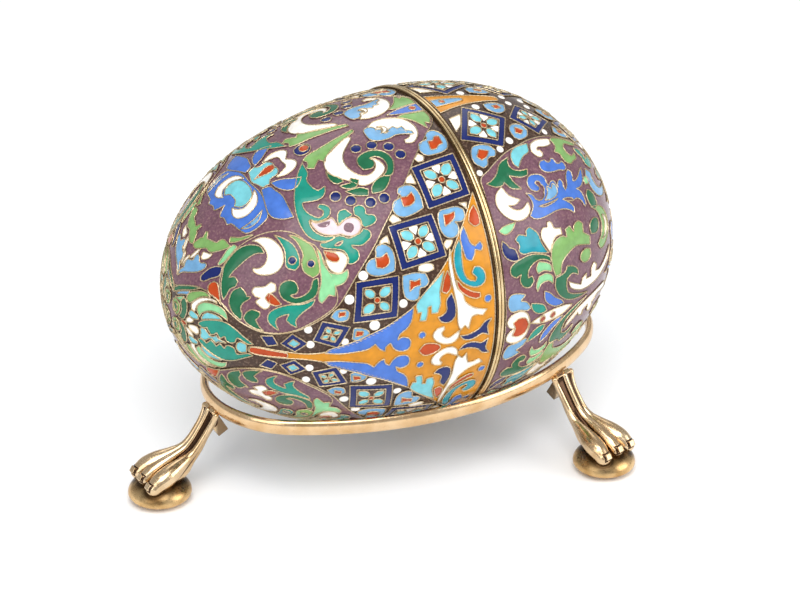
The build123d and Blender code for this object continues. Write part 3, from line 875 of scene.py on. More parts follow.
pointed.cell("blue", 3, [
    (12.1, -37.7), (16.4, -37.3), (20.7, -35.7), (21.4, -34), (18.2, -32), (16.4, -33.7), (13.6, -35.7),
])
pointed.cell("turquoise", 2, [
    (None, -40.5), (8, -40), (11.5, -39.5), (12.1, -38), (10, -37.3), (9.6, -35.5), (7, -34.8),
    (None, -35),
], line=0)
pointed.cell("red", 3, [(None, -39.8), (5.6, -38), (6.6, -36.5), (5.8, -35.2), (None, -35)], line=0)
pointed.cell("leaf", 2, [
    (3, -57.5), (8, -57.8), (14, -56.8), (18, -55.8), (23, -55.5), (26.5, -54.2), (29.3, -52.2),
    (30, -51), (28, -51.2), (23.5, -51.5), (21.5, -52.2), (21, -53.2), (16, -54), (12.5, -54.5),
    (9, -53.5), (7, -53.8), (8.5, -55), (6.5, -55.5),
])
pointed.cell("leaf", 2, [
    (24.6, -50.2), (27, -50.9), (28.8, -50.2), (30.4, -48.8), (31.6, -47), (31.6, -45.8), (30.4, -46.8),
    (28.8, -48.4), (26.6, -49.4),
])
pointed.cell("mint", 2, [
    (30.2, -50.2), (30.4, -51.8), (32.6, -53.4), (35, -55), (36.6, -55), (36.6, -53.6), (34.6, -51.6),
    (32.6, -49.8),
])
pointed.cell("sky", 2, [
    (4, -64.8), (6, -64.3), (12, -63.2), (20, -62.1), (27, -60.6), (30.5, -59.2), (31, -57.7),
    (29, -57.4), (27, -57.6), (25, -58.3), (22, -58.5), (19, -58), (16, -57.8), (14.2, -58.6),
    (15, -59.5), (12, -60.1), (8, -60.5), (6.7, -61.4), (8.5, -62.2), (6, -63), (4, -63.4),
])
pointed.cell("white", 2, [
    (9, -60.2), (11.5, -59.8), (13.8, -59), (14.6, -57.8), (14.4, -56.8), (12.6, -57.2), (11, -58.2),
    (9.6, -59.4),
])
pointed.cell("white", 2, [
    (18.5, -56.6), (20, -57.6), (23, -57.8), (25.5, -57), (26.5, -55.8), (25.5, -55.2), (23, -55.9),
    (20.5, -56.3),
])
pointed.cell("navy", 2, [
    (34, -58.4), (35, -59.8), (38.4, -60.2), (41, -59.4), (42, -57.8), (43.6, -56), (42, -55),
    (39, -54.5), (36.4, -55.4), (34.4, -56.8),
])
pointed.cell("red", 2, [
    (45.4, -57.9), (46.5, -58.8), (50, -59.3), (54, -59.2), (58, -58.4), (63, -57.5), (66, -57.2),
    (60, -57.1), (55, -56.9), (50, -56.7), (47.5, -56.8), (46, -57.2),
])
# The round scroll at the cartouche's shoulder.
pointed.cell("plum", 2, [
    (49.3, -35.3), (45.7, -36.7), (40.7, -38.3), (37.1, -40.3), (35, -42.3), (33.6, -44.3),
    (32.9, -46.7), (33.2, -49.3), (35, -51.7), (38.6, -54), (42.9, -55.2), (50, -56.4), (57.1, -56.9),
    (64.3, -57), (71.4, -55.8), (78, -54), (81.5, -52.5), (84.4, -50.5), (85.7, -48.5), (86.1, -46.5),
    (85.6, -44.4), (84, -42), (81.4, -39.5), (78.5, -36.8), (74, -34), (68, -33.6), (60, -34.3),
], spacing=COARSE_FILL)
pointed.cell("bottle", 3, [
    (34.4, -50), (36.4, -52.2), (39.6, -54), (44, -54.9), (50, -55.9), (57, -56.4), (62, -56.3),
    (58.5, -55.2), (55.5, -54.2), (55.2, -53), (52.5, -52.2), (49, -52.6), (47.8, -53.8), (45.5, -52.5),
    (43.5, -50.5), (42, -48.5), (41.8, -46.8), (43.5, -45.2), (40, -45.4), (37.5, -46.2), (34.9, -48),
])
pointed.cell("white", 4, [
    (34.6, -46.6), (37, -45.6), (42, -44.8), (46, -44.9), (49, -46), (49.8, -47.3), (48.3, -48.5),
    (51, -48.3), (53.5, -47.2), (54.8, -45.3), (54, -43.6), (51, -42.3), (46, -41.8), (41, -42.3),
    (37.6, -43.2), (35.2, -44.8),
])
pointed.cell("teal", 4, [
    (37, -42.2), (40, -41.7), (46, -41.3), (50, -41.7), (54, -41.9), (56.3, -40.5), (54.5, -39.4),
    (50, -39), (45, -39.4), (40.6, -40.7),
])
pointed.dot("navy", 5, (51.7, -40.5), 0.8)
pointed.cell("leaf", 4, [
    (40, -39.6), (44, -38.6), (48, -38.2), (51, -38.2), (54, -38.9), (58, -38.9), (61.5, -37.5),
    (60, -36.1), (55, -35.7), (49, -35.9), (45.4, -37), (42, -38.3),
])
pointed.dot("navy", 5, (55.5, -37.2), 0.75)
pointed.cell("bottle", 3, [
    (56.5, -52), (57.4, -53.8), (62, -55), (67, -55.3), (73, -54.8), (78, -53.4), (74, -52.9),
    (70, -53), (67, -52.4), (65.4, -51.2), (64, -50.3), (63, -51.2), (60.5, -51.3),
])
pointed.cell("bottle", 3, [
    (71.5, -50.7), (73, -52), (76.5, -52.8), (80, -52.2), (83, -50.8), (84.8, -48.9), (82, -49.7),
    (78, -50.3), (75.5, -49.3), (73.5, -49.2),
])
pointed.cell("teal", 3, [
    (70.8, -38), (72, -40.5), (71.5, -43.5), (72.5, -46), (75, -47.5), (79, -47.8), (82, -47),
    (84.5, -45.8), (80.5, -46.3), (78, -46), (76.5, -44.8), (76, -43.5), (79, -44.2), (81.5, -43.3),
    (83, -42.2), (79.5, -42.3), (76, -40.8), (73, -38.6),
])
pointed.cell("white", 3, [
    (59, -49.3), (61, -50), (64, -49.5), (65.5, -48.5), (67, -49.7), (70, -49), (72, -48),
    (70.5, -46.9), (67.5, -46.8), (64.5, -46.5), (63.5, -45.2), (60.5, -45), (58.5, -45.8), (60, -47.2),
])
pointed.cell("red", 4, [
    (63.8, -46.7), (66, -47.6), (69, -47), (71, -45.8), (70.7, -44.6), (68, -45.2), (65, -46),
])
pointed.cell("bottle", 3, [
    (59.9, -42.5), (61, -44), (64.5, -44.6), (68.5, -44), (71.3, -42), (71, -39.5), (69.4, -37.8),
    (66, -36.9), (62, -36.6), (62.5, -37.6), (66, -38.5), (68.2, -40), (68.6, -41.8), (67, -42.6),
    (66.5, -41.2), (64, -40.8), (61.2, -41.2),
])
pointed.cell("mint", 3, [
    (50, -35.4), (54, -35.4), (58, -35.7), (64, -36.2), (68, -37), (71.5, -37.3), (73, -36.8),
    (70, -35.2), (71, -34), (67, -33.6), (66.5, -32), (64, -30.8), (61.5, -30.6), (62.5, -32.2),
    (61, -34), (57, -34.8), (52, -34.8),
])
pointed.cell("white", 3, [
    (55, -34.2), (58, -34.2), (60.3, -33.8), (62, -32.8), (62.2, -32), (60.6, -31.1), (58.8, -30.4),
    (56.8, -30.2), (55, -30.6), (53.9, -31.4), (53, -32.6), (52.2, -33.6),
])
pointed.cell("red", 4, [
    (51.6, -34.1), (53.5, -34.2), (55.5, -33.9), (57, -33.2), (57.7, -32.4), (57.2, -31.7), (56, -31.6),
    (54.4, -32), (53.2, -32.9), (52.3, -33.6),
])

# The orange spandrel on the side, with its spike.
pointed.cell("orange", 1, [
    (None, -1.3), (46.6, -1.3), (50, -2.75), (55, -4.9), (60, -7.3), (65, -9.6), (70, -12.4),
    (75, -15.6), (80, -18.7), (83.75, -21.8), (86.9, -24.6), (89.4, -27.75), (91.9, -30.9),
    (93.75, -34), (95, -35.6), (96.4, -38), (97.1, -41.3), (96.6, -45), (96, -50), (96.6, -52),
    (None, -52.3),
], line=90, spacing=COARSE_FILL)
pointed.cell("red", 2, [
    (None, -44.2), (97.3, -44.4), (96.9, -47), (96.4, -50), (96.9, -51.7), (None, -52),
], line=90)
pointed.cell("blue", 2, [
    (80.5, -18.9), (83, -21.5), (86, -24.5), (88.5, -27.8), (91, -31), (93, -34), (94.5, -36.2),
    (96.3, -37), (96.6, -34), (95.8, -30.5), (95, -28.5), (93, -27), (95.5, -26), (96.5, -25),
    (94.5, -24.8), (93.2, -23.9), (95.5, -23.3), (97, -22.2), (96.9, -20.5), (95, -19.8), (92.5, -20),
    (91.3, -21.5), (92.3, -22.5), (90, -22), (88, -20.5), (85.5, -19.6), (83, -19.2),
])
pointed.cell("turquoise", 2, [
    (70, -11.7), (73, -14), (76, -16.3), (79.5, -18.3), (83, -18.2), (82.8, -17.4), (86, -17.9),
    (86.3, -16.6), (84, -16.2), (81.5, -16), (81.3, -15.3), (84, -15.3), (84.2, -14), (81, -13.3),
    (77, -13.2), (73, -12.4),
])
pointed.cell("red", 2, [(70.2, -11), (73, -12), (77, -12.8), (78, -11.8), (76.5, -10.9), (73, -10.6)])
pointed.cell("navy", 2, [
    (78.2, -10.8), (80.5, -12), (84, -12.1), (85.5, -13), (86, -14), (88, -13.2), (88.5, -11.5),
    (87, -10.4), (84, -10.1), (81, -10.3),
])
pointed.cell("white", 2, [
    (89.8, -12.8), (90.5, -14.3), (92.5, -15.1), (95, -14.4), (96.8, -12.6), (97, -10.8), (95.2, -9.6),
    (92.5, -9.3), (93.7, -10.5), (94.7, -11.8), (93.5, -13), (92, -13.2), (91, -12.6),
])
pointed.cell("white", 2, [
    (63, -9.6), (68, -10.4), (73, -10.5), (79, -10.1), (84, -9.8), (90, -9.7), (92.6, -9.1), (91, -8.2),
    (92.8, -7.3), (90, -7), (88.2, -6.6), (88, -5.4), (88.7, -4.2), (86.8, -3.2), (86, -5),
    (84.8, -6.5), (82.2, -8), (79.4, -8.4), (77, -9.4), (70, -9.8),
])
pointed.cell("red", 2, [(None, -18), (95.7, -16.8), (95.8, -15), (97, -13.6), (None, -13.4)], line=90)
pointed.dot("blue", 2, (91.7, -17.4), 0.75)
pointed.dot("blue", 2, (83.1, -2.9), 0.8)
pointed.cell("aqua", 3, [
    (61, -7.3), (64, -8.7), (69, -9.4), (74, -8.8), (77, -7), (78.1, -5), (77, -3.4), (74, -3.1),
    (71.6, -4), (71.2, -5.2), (73, -5.9), (74.8, -5), (76, -5.3), (75, -6.8), (72, -7.6), (67, -7.5),
    (63.5, -7.1),
])
pointed.cell("red", 3, [
    (74.2, -9.5), (77.5, -9.1), (80.5, -7.4), (82, -5.6), (81.8, -4.6), (80.4, -4.6), (79.2, -6.4),
    (77, -8.2), (75, -9),
])
pointed.cell("blue", 2, [
    (57, -5.6), (60, -6.8), (64, -6.9), (68, -6.5), (69, -5.4), (67, -4.6), (65.5, -4.3), (66.5, -3),
    (65, -2.5), (63.3, -2.9), (64.5, -4.2), (63, -5), (60, -5.3),
])
pointed.cell("red", 2, [(51, -2.1), (53, -3.4), (56, -4.2), (58, -3.2), (57.6, -1.9), (54.5, -1.7)])
pointed.cell("navy", 2, [
    (94.8, -9.2), (96.6, -8.3), (97.2, -6.8), (96.6, -5.3), (95.8, -4.2), (97, -2.6), (95, -2.9),
    (93, -3), (90.5, -2), (91.3, -3.6), (93.4, -4.8), (94.4, -6), (95, -7.5),
])

# The band of lozenges, horseshoes and pearls between them.
for corners in (
    [(31.25, -1.65), (32.2, -11.5), (48.4, -11.5), (47.2, -2)],
    [(50.2, -11.25), (50.3, -20.6), (66.6, -20.25), (65.3, -10.6)],
    [(68.1, -21), (67.2, -29.6), (83.1, -31.2), (83.1, -22.4)],
):
    pointed.lozenge(corners, filling=corners[0][0] < 60)
pointed.lozenge([(81.1, -37.2), (90, -39.3), (93.6, -34.5), (84.6, -31.8)], filling=False)
pointed.lozenge([(86.4, -43.3), (92, -45.7), (96.2, -42.9), (91.4, -40.3)], plain="turquoise")
pointed.cell("navy", 1, [(88.2, -49.7), (94.3, -48.3), (92.9, -46.2), (87.7, -47.2)])
for shoe, heart in (
    ([
        (23.3, -6.1), (24.2, -7.5), (27, -8), (29.3, -7.3), (29.9, -5.5), (29.7, -3.5), (28.5, -2.1),
        (25.5, -1.5), (22.5, -1.7), (20.2, -2.8), (20, -4), (21.2, -5), (23, -5.3),
    ], [
        (24.2, -5.4), (27.9, -5.8), (28, -4.6), (26.9, -3.7), (26.6, -2.7), (23.3, -2.6), (22.9, -3.5),
        (24.3, -4.3),
    ]),
    ([
        (41.9, -16.7), (42.2, -17.6), (44.3, -18.5), (47, -18.3), (48.7, -17), (48.5, -14.6),
        (47.5, -12.5), (43, -12.2), (39, -12.9), (37.9, -14.4), (38.2, -15.9), (39.8, -16.4),
        (41.1, -15.9),
    ], [(41.5, -16.2), (45.2, -16.3), (45.4, -14.9), (43.9, -13.6), (40.9, -13.7), (42, -15)]),
    ([
        (60, -25.6), (61.5, -26.8), (64, -27.1), (66.2, -25.9), (66.8, -23.8), (66.2, -21.6),
        (62.5, -21.1), (58.1, -21.3), (55.7, -22.8), (56.4, -24.2), (58.6, -24.5), (60, -24.9),
    ], [(59.8, -24.8), (63.5, -25), (64.2, -23.6), (62.6, -22.3), (59.1, -22.4), (60.2, -23.6)]),
    ([
        (50.2, -9.6), (53, -10.4), (57, -10.4), (59.4, -9.5), (59.9, -8), (58.5, -6.9), (56, -6.7),
        (54.9, -7.2), (55.3, -5.7), (54.2, -4.7), (51.5, -4.5), (50.1, -5.8), (49.9, -8),
    ], [(51.7, -9), (55.6, -9.4), (54.7, -8), (53.3, -6.9), (51.5, -6.6), (51.9, -7.9)]),
    ([
        (68.4, -20.25), (71.9, -20.6), (76.25, -20.4), (78.1, -19), (77.5, -17.7), (75, -17.3),
        (74.1, -17), (74, -16.1), (72.5, -15.2), (69.4, -15.6), (68.4, -17.75),
    ], [(70.5, -19), (74.5, -19.4), (73.2, -18.1), (73.1, -17), (70.8, -16.9), (71.3, -18)]),
    (
        [(77.1, -32.3), (76.8, -34.2), (79.4, -35.5), (81.8, -34), (81.4, -32.3), (78.6, -31.7)],
        [(77.9, -33.8), (79.9, -34), (79.6, -32.6), (77.8, -32.5)],
    ),
    (
        [
            (85.3, -31.2), (90, -31.6), (90.8, -30.4), (89.4, -29), (88.3, -28.1), (86.9, -28.4),
            (85.6, -29.6),
        ],
        [(86.5, -30.7), (89, -31), (88.6, -29.5), (86.9, -29.3)],
    ),
):
    pointed.cell("sky", 2, shoe)
    pointed.cell("red", 3, heart, spacing=FINE_FILL)
for chip in (
    [(27.8, -8.8), (29.4, -9.9), (31, -9.6), (31, -8.4), (29.6, -7.9)],
    [(34.4, -12.1), (38.7, -12.1), (37.9, -13), (37.3, -14), (35.8, -13.6)],
    [(46.6, -18.9), (48.1, -20), (49.7, -19.6), (49.7, -17.8), (48.8, -17.9)],
    [(49.2, -5.1), (49.5, -3.4), (51.8, -3.9), (50.6, -4.3)],
    [(60, -9.9), (61.6, -10.7), (63.3, -10.2), (62, -9.1), (60.6, -8.6)],
    [(66.3, -16.6), (68, -17), (69.1, -15.2), (68.6, -13.7), (66.9, -13.8), (66.1, -15.2)],
    [(53.2, -21.4), (56.6, -21.3), (55.4, -22.2), (56, -23.4), (54.6, -23)],
):
    pointed.cell("white", 2, chip, spacing=FINE_FILL)
for at, radius in (
    ((65.3, -27.9), 1.0), ((78.5, -20.9), 0.9), ((85.2, -27), 1.1), ((73.4, -31.4), 1.0),
    ((91.2, -33), 0.8), ((84.5, -40.1), 0.85), ((92.1, -39.8), 0.85),
):
    pointed.pearl(at, radius)

# The palmettes and volutes that close the tip.
pointed.cell("white", 2, [
    (4, -62.6), (6, -62.2), (6.6, -61.2), (8.4, -60.2), (7, -59.6), (4.6, -60.4), (3.4, -61.6),
], spacing=FINE_FILL)
pointed.cell("teal", 1, [
    (94.6, -51.2), (90, -53.2), (85, -54.9), (81, -56.6), (79.2, -58.2), (79.2, -60), (80.4, -62),
    (84, -63.4), (88, -63.8), (90.4, -62.6), (88.5, -61.6), (93, -61), (96, -60.6), (94, -59.8),
    (91.5, -59.2), (96.5, -58.4), (94, -57.7), (93, -57.3), (97, -56.9), (97.4, -55.8), (95.6, -55),
    (93, -54.8), (92, -54.4), (94, -53.2), (95.4, -52.2),
])
pointed.cell("turquoise", 1, [
    (None, -63.1), (95.5, -63.3), (91.4, -63.2), (91.4, -62.1), (94.2, -61.5), (97.4, -60.9),
    (97, -60), (94.4, -59.3), (97.2, -58.9), (98.4, -57.6), (None, -56.8),
], line=90)
pointed.cell("turquoise", 1, [
    (None, -54.8), (95.6, -54.5), (94.6, -53.8), (96, -52.6), (None, -52.6),
], line=90)
pointed.cell("white", 1, [
    (54.5, -62), (55.5, -63.5), (58, -64.6), (62, -65), (67, -64.9), (70.5, -64.3), (67, -64),
    (63, -63.5), (60, -62.3), (59.4, -61), (60.5, -59.5), (64.5, -58), (60.5, -58.5), (57, -60),
])
pointed.cell("mint", 1, [
    (60.3, -61.4), (61.6, -62.8), (66, -63.5), (72, -63.4), (77, -63.1), (72.4, -62.5), (70.4, -61.4),
    (70.2, -60), (72.4, -58.5), (76, -57.2), (79, -56.4), (73.5, -56.4), (68.4, -57.2), (64.8, -58.5),
    (61.8, -60),
])
pointed.cell("turquoise", 1, [
    (71.4, -61), (73.4, -62), (77, -62.6), (80.2, -62.7), (78.8, -61.4), (78.2, -60), (78.2, -58.6),
    (78.6, -57.5), (75.6, -58.3), (72.8, -59.6),
])
pointed.cell("leaf", 1, [
    (42, -64.4), (45.5, -65.5), (50.5, -65.7), (55.5, -65.2), (55.4, -64.2), (54, -63), (53.8, -61.6),
    (55.4, -60.2), (57.4, -59.3), (54, -59.6), (50.4, -60.3), (46.4, -61.8),
])
pointed.cell("bottle", 1, [
    (0, -67.4), (8, -67.2), (16, -66.2), (24, -65.2), (32, -63.9), (40, -62.2), (45, -61), (41, -63.3),
    (34, -65), (26, -66.4), (16, -67.7), (6, -68.4), (0, -68.5),
])
pointed.cell("leaf", 1, [
    (16, -69.6), (30, -69), (42, -68.7), (56, -68.7), (70, -69.3), (84, -70.3), (90, -70.9),
    (70, -71.5), (50, -71.7), (30, -71.4), (18, -70.5),
])
pointed.cell("bottle", 2, [
    (30, -70), (42, -69.5), (56, -69.6), (72, -70.4), (62, -70.8), (46, -70.8), (34, -70.6),
])
pointed.cell("white", 1, [
    (79.6, -66.2), (83, -66.9), (88, -67.4), (93, -67.5), (92.6, -66.6), (89, -65.6), (85, -65),
    (82.4, -65.2),
])
pointed.cell("turquoise", 1, [
    (67.4, -65.3), (70.5, -66), (75.5, -66.3), (79.8, -65.7), (81.4, -64.6), (80.2, -63.5),
    (75.4, -63.7), (72, -64.2),
])
pointed.cell("bottle", 1, [
    (43, -66.2), (52, -66), (60, -66.2), (70, -66.7), (80, -67.4), (88, -68), (92, -68.6), (91, -69.9),
    (84, -69.7), (72, -68.8), (60, -68.2), (50, -68.1), (44, -67.6),
])
pointed.cell("sky", 1, [
    (18, -68), (26, -67.8), (32, -67), (38, -66), (42.6, -65), (40.4, -64), (34, -65.4), (26, -66.8),
])
pointed.cell("mint", 1, [
    (20, -68.8), (27, -68.5), (33, -67.7), (39, -66.6), (41.6, -66.2), (42.6, -67.6), (40, -68.2),
    (33, -68.6), (26, -69),
])
pointed.cell("white", 1, [
    (None, -63.6), (96.8, -63.7), (92.6, -64.2), (92.4, -65.2), (95, -66.2), (97.6, -66.7),
    (None, -66.7),
], line=90)
pointed.cell("red", 1, [(None, -69.4), (95, -68.7), (93, -68), (97, -67.2), (None, -67.1)], line=90)

# The enamel's finish: opaque fired glass, ground level and flame-polished, so it is bright but not wet.
# The plum and brown grounds hold grains of other colours, about half a millimetre across. Plain enamel
# clouds a little within each cell, as the powder lies thicker in one place than another.
GRAIN, POWDER_CLOUD, PIT_DEPTH = 0.5, 5 / 3, 0.06
enamel_glass = bpy.data.materials.new("fired_opaque_enamel")
enamel_glass.use_nodes = True
glass_tree = enamel_glass.node_tree
glass = glass_tree.nodes["Principled BSDF"]
glass.inputs["IOR"].default_value = 1.5
glass.inputs["Specular IOR Level"].default_value = 0.3
tint = add_node(glass_tree, "ShaderNodeAttribute", attribute_name="tint")
spot = add_node(glass_tree, "ShaderNodeTexCoord").outputs["Object"]
grains = add_node(
    glass_tree, "ShaderNodeTexNoise", [("Vector", spot), ("Scale", 1 / (GRAIN * MM)), ("Detail", 2.0)]
).outputs["Fac"]
clouding = add_node(
    glass_tree, "ShaderNodeTexNoise",
    [("Vector", spot), ("Scale", 1 / (POWDER_CLOUD * MM)), ("Detail", 3.0)],
).outputs["Fac"]
marked = add_node(
    glass_tree, "ShaderNodeMapRange",
    [("Value", tint.outputs["Alpha"]), (FROM_LOW, 1.0), (FROM_HIGH, 0.5)],
)
glaze = tint.outputs["Color"]
# Pale grains, then dark ones: the range of the noise that they fill, their strength and their colour.
for low, high, strength, code in ((0.54, 0.66, 0.16, "#C9A98F"), (0.45, 0.33, 0.3, "#2E2024")):
    grain = add_node(
        glass_tree, "ShaderNodeMapRange", [("Value", grains), (FROM_LOW, low), (FROM_HIGH, high)]
    )
    share = add_node(
        glass_tree, "ShaderNodeMath",
        [(0, grain.outputs[0]), (1, marked.outputs[0])], operation="MULTIPLY",
    )
    part = add_node(
        glass_tree, "ShaderNodeMath", [(0, share.outputs[0]), (1, strength)], operation="MULTIPLY"
    )
    glaze = add_node(
        glass_tree, "ShaderNodeMix",
        [("Factor", part.outputs[0]), (MIX_A, glaze), (MIX_B, linear(code))], data_type="RGBA",
    ).outputs[MIXED]
cloud_light, glass_rough = (
    add_node(
        glass_tree, "ShaderNodeMapRange",
        [("Value", clouding), (FROM_LOW, 0.3), (FROM_HIGH, 0.7), (TO_LOW, least), (TO_HIGH, most)],
    )
    for least, most in ((0.86, 1.12), (0.13, 0.24))
)
clouded = add_node(
    glass_tree, "ShaderNodeVectorMath", [(0, glaze), ("Scale", cloud_light.outputs[0])], operation="SCALE"
)
glass_tree.links.new(clouded.outputs[0], glass.inputs["Base Color"])
glass_tree.links.new(glass_rough.outputs[0], glass.inputs["Roughness"])
pitting = add_node(
    glass_tree, "ShaderNodeBump", [("Height", grains), ("Strength", 0.12), ("Distance", PIT_DEPTH * MM)]
)
glass_tree.links.new(pitting.outputs[0], glass.inputs["Normal"])

# Pearls: each is a flattened ball that stands on its seat, as wide as the seat says.
PEARL_HEIGHT, PEARL_MILK = 0.3, 10 / 9
pearl_tree, PEARL_INPUTS = rule(
    "enamel_pearls", {"Seats": "Geometry", "Height": "Float", "Finish": "Material"}, "Pearls"
)
seat = add_node(pearl_tree, "NodeGroupInput").outputs
size = add_node(pearl_tree, "GeometryNodeInputNamedAttribute", [("Name", "size")], data_type="FLOAT")
facing = add_node(
    pearl_tree, "GeometryNodeInputNamedAttribute", [("Name", "facing")], data_type="FLOAT_VECTOR"
)
upright = add_node(
    pearl_tree, "FunctionNodeAlignRotationToVector", [("Vector", facing.outputs[0])], axis="Z"
)
tall = add_node(
    pearl_tree, "ShaderNodeMath", [(0, size.outputs[0]), (1, seat["Height"])], operation="MULTIPLY"
)
scale = add_node(
    pearl_tree, "ShaderNodeCombineXYZ",
    [("X", size.outputs[0]), ("Y", size.outputs[0]), ("Z", tall.outputs[0])],
)
drop = add_node(pearl_tree, "GeometryNodeMeshUVSphere", [("Segments", 14), ("Rings", 7), ("Radius", 1.0)])
strewn = add_node(
    pearl_tree, "GeometryNodeInstanceOnPoints",
    [("Points", seat["Seats"]), ("Instance", drop.outputs[0]), ("Rotation", upright.outputs[0]),
     ("Scale", scale.outputs[0])],
)
fused = add_node(pearl_tree, "GeometryNodeRealizeInstances", [("Geometry", strewn.outputs[0])])
glossed = add_node(pearl_tree, "GeometryNodeSetShadeSmooth", [("Geometry", fused.outputs[0])])
coated = add_node(
    pearl_tree, "GeometryNodeSetMaterial",
    [("Geometry", glossed.outputs[0]), ("Material", seat["Finish"])],
)
add_node(pearl_tree, "NodeGroupOutput", [("Pearls", coated.outputs[0])])
# Opaque white enamel, melted into a drop, so that it is rounder and glossier than the ground cells.
pearl_white = bpy.data.materials.new("white_enamel_drop")
pearl_white.use_nodes = True
milk_tree = pearl_white.node_tree
pearl_shader = milk_tree.nodes["Principled BSDF"]
pearl_shader.inputs["Roughness"].default_value = 0.18
pearl_spot = add_node(milk_tree, "ShaderNodeTexCoord").outputs["Object"]
milk = add_node(
    milk_tree, "ShaderNodeTexNoise", [("Vector", pearl_spot), ("Scale", 1 / (PEARL_MILK * MM))]
)
milky = add_node(
    milk_tree, "ShaderNodeMix",
    [("Factor", milk.outputs["Fac"]), (MIX_A, linear("#FFFDF8")), (MIX_B, linear("#E6DDD2"))],
    data_type="RGBA",
)
milk_tree.links.new(milky.outputs[MIXED], pearl_shader.inputs["Base Color"])
# The skin under the cells, by its stations from the parting to the pole, and its back on the shell.
SKIN_START, SKIN_STATIONS, SKIN_SIDES, SKIN_BACK, BACK_THINNING = 0.66, 46, 180, -0.78, 5
POLE_ZONE, POLE_STATIONS = 4.0, np.array((0.8, 0.6, 0.4, 0.2))


def enamel_piece(half, side, name, pole_reach, pole_colour):
    """Makes one half's enamel skin, wires and pearls from its drawing."""
    body = name + "_half"
    length = MERIDIANS[side][0][-1]
    stations = np.concatenate((
        np.linspace(SKIN_START, length - POLE_ZONE, SKIN_STATIONS), length - POLE_ZONE * POLE_STATIONS
    ))
    skin = []
    for lift, way in ((GROUND_SINK, stations), (SKIN_BACK, stations[::-BACK_THINNING])):
        part = []
        for s in way:
            x, _, z = on_egg(np.array([0.0]), np.array([side * s]), lift)[0] - EGG_MIDDLE
            part.append((z, x))
        tip = (0.0, (on_egg(np.array([0.0]), np.array([side * length]), lift)[0] - EGG_MIDDLE)[0])
        skin += part + [tip] if way[0] < way[-1] else [tip] + part
    skin.append(skin[0])
    points, faces = turned(skin[::side], SKIN_SIDES)
    tints = np.repeat(ENAMELS["brown"][None], len(points), 0)
    tints[:, 3] = GROUND_MARK["brown"]
    near_pole = np.hypot(points[:, 1], points[:, 2]) < pole_reach
    tints[near_pole] = ENAMELS[pole_colour]
    tints[near_pole, 3] = GROUND_MARK.get(pole_colour, 1.0)
    faces = list(faces) + [tuple(c + len(points) for c in f) for f in half.faces]
    everything = np.vstack([points + EGG_MIDDLE] + half.points)
    piece = mesh_piece("enamel_" + name, everything, faces, enamel_glass)
    colour = piece.data.attributes.new("tint", "FLOAT_COLOR", "POINT")
    colour.data.foreach_set("color", np.vstack([tints] + half.tints).ravel())
    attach(piece, body)
    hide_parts(name + "_enamel")
    share = math.ceil(len(half.loops) / WIRE_PIECES)
    for i in range(WIRE_PIECES):
        loops = half.loops[i * share:(i + 1) * share]
        twisted_wire("cell_wires_%s_%d" % (name, i + 1), loops, CELL_WIRE, wire_gilt, body)
    way, travel, radius = np.array(half.pearls).T
    low = on_egg(way, travel, np.full(len(way), GROUND_SINK))
    facing = on_egg(way, travel, np.full(len(way), GROUND_SINK + 1)) - low
    seats = bpy.data.meshes.new("pearl_seats_" + name)
    seats.from_pydata(low * MM, [], [])
    seats.attributes.new("size", "FLOAT", "POINT").data.foreach_set("value", radius * MM)
    seats.attributes.new("facing", "FLOAT_VECTOR", "POINT").data.foreach_set("vector", facing.ravel())
    drops = grown(
        "pearls_" + name, seats, pearl_tree, PEARL_INPUTS, {"Height": PEARL_HEIGHT, "Finish": pearl_white}
    )
    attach(drops, body)


enamel_piece(pointed, -1, "pointed", 1.6, "plum")


# Blunt shell and rim: the shorter half, raised like the other and closed by a matching rim.
# Its mouth slides over the sleeve.
dress("blunt_shell", inside_gilt)
half_round_rim("rim_blunt", 1, "blunt_rim", "blunt_half")


# Blunt enamel: the same work on the shorter half, with a plum field on each side.
# Bands of lozenges part the fields, and a rosette closes the end.
blunt = EnamelHalf((7.0, 0.0), (98.0, 0.0))
blunt.cell("orange", 1, [
    (None, 1.3), (13, 1.4), (11.3, 5.2), (10, 9.3), (9.2, 13), (8.4, 17), (None, 17.4),
], line=0)
blunt.cell("sky", 2, [(None, 1.6), (9.3, 1.7), (9, 4), (7.8, 8.3), (None, 8.6)], line=0)
blunt.dot("red", 3, (7, 3.7), 0.6, line=0)
blunt.cell("plum", 1, [
    (None, 1.3), (44.7, 1.3), (40.7, 4.3), (37.3, 7.75), (35.3, 10.25), (33.3, 13.7), (31.3, 17.1),
    (29.7, 20.9), (28.7, 24.9), (28.3, 30.25), (28.6, 35), (31, 40), (37, 44.5), (48, 48), (64, 50),
    (80, 50.8), (None, 51),
], line=90, spacing=COARSE_FILL)
blunt.lozenge([(12, 6.7), (27.3, 1.5), (33.3, 9.9), (20, 14.8)])
blunt.lozenge([(20, 15.9), (28.3, 21.2), (18.7, 27.6), (11, 20.6)])
blunt.lozenge([(18.5, 29), (27.2, 34.5), (18, 40.5), (9.2, 34.8)])
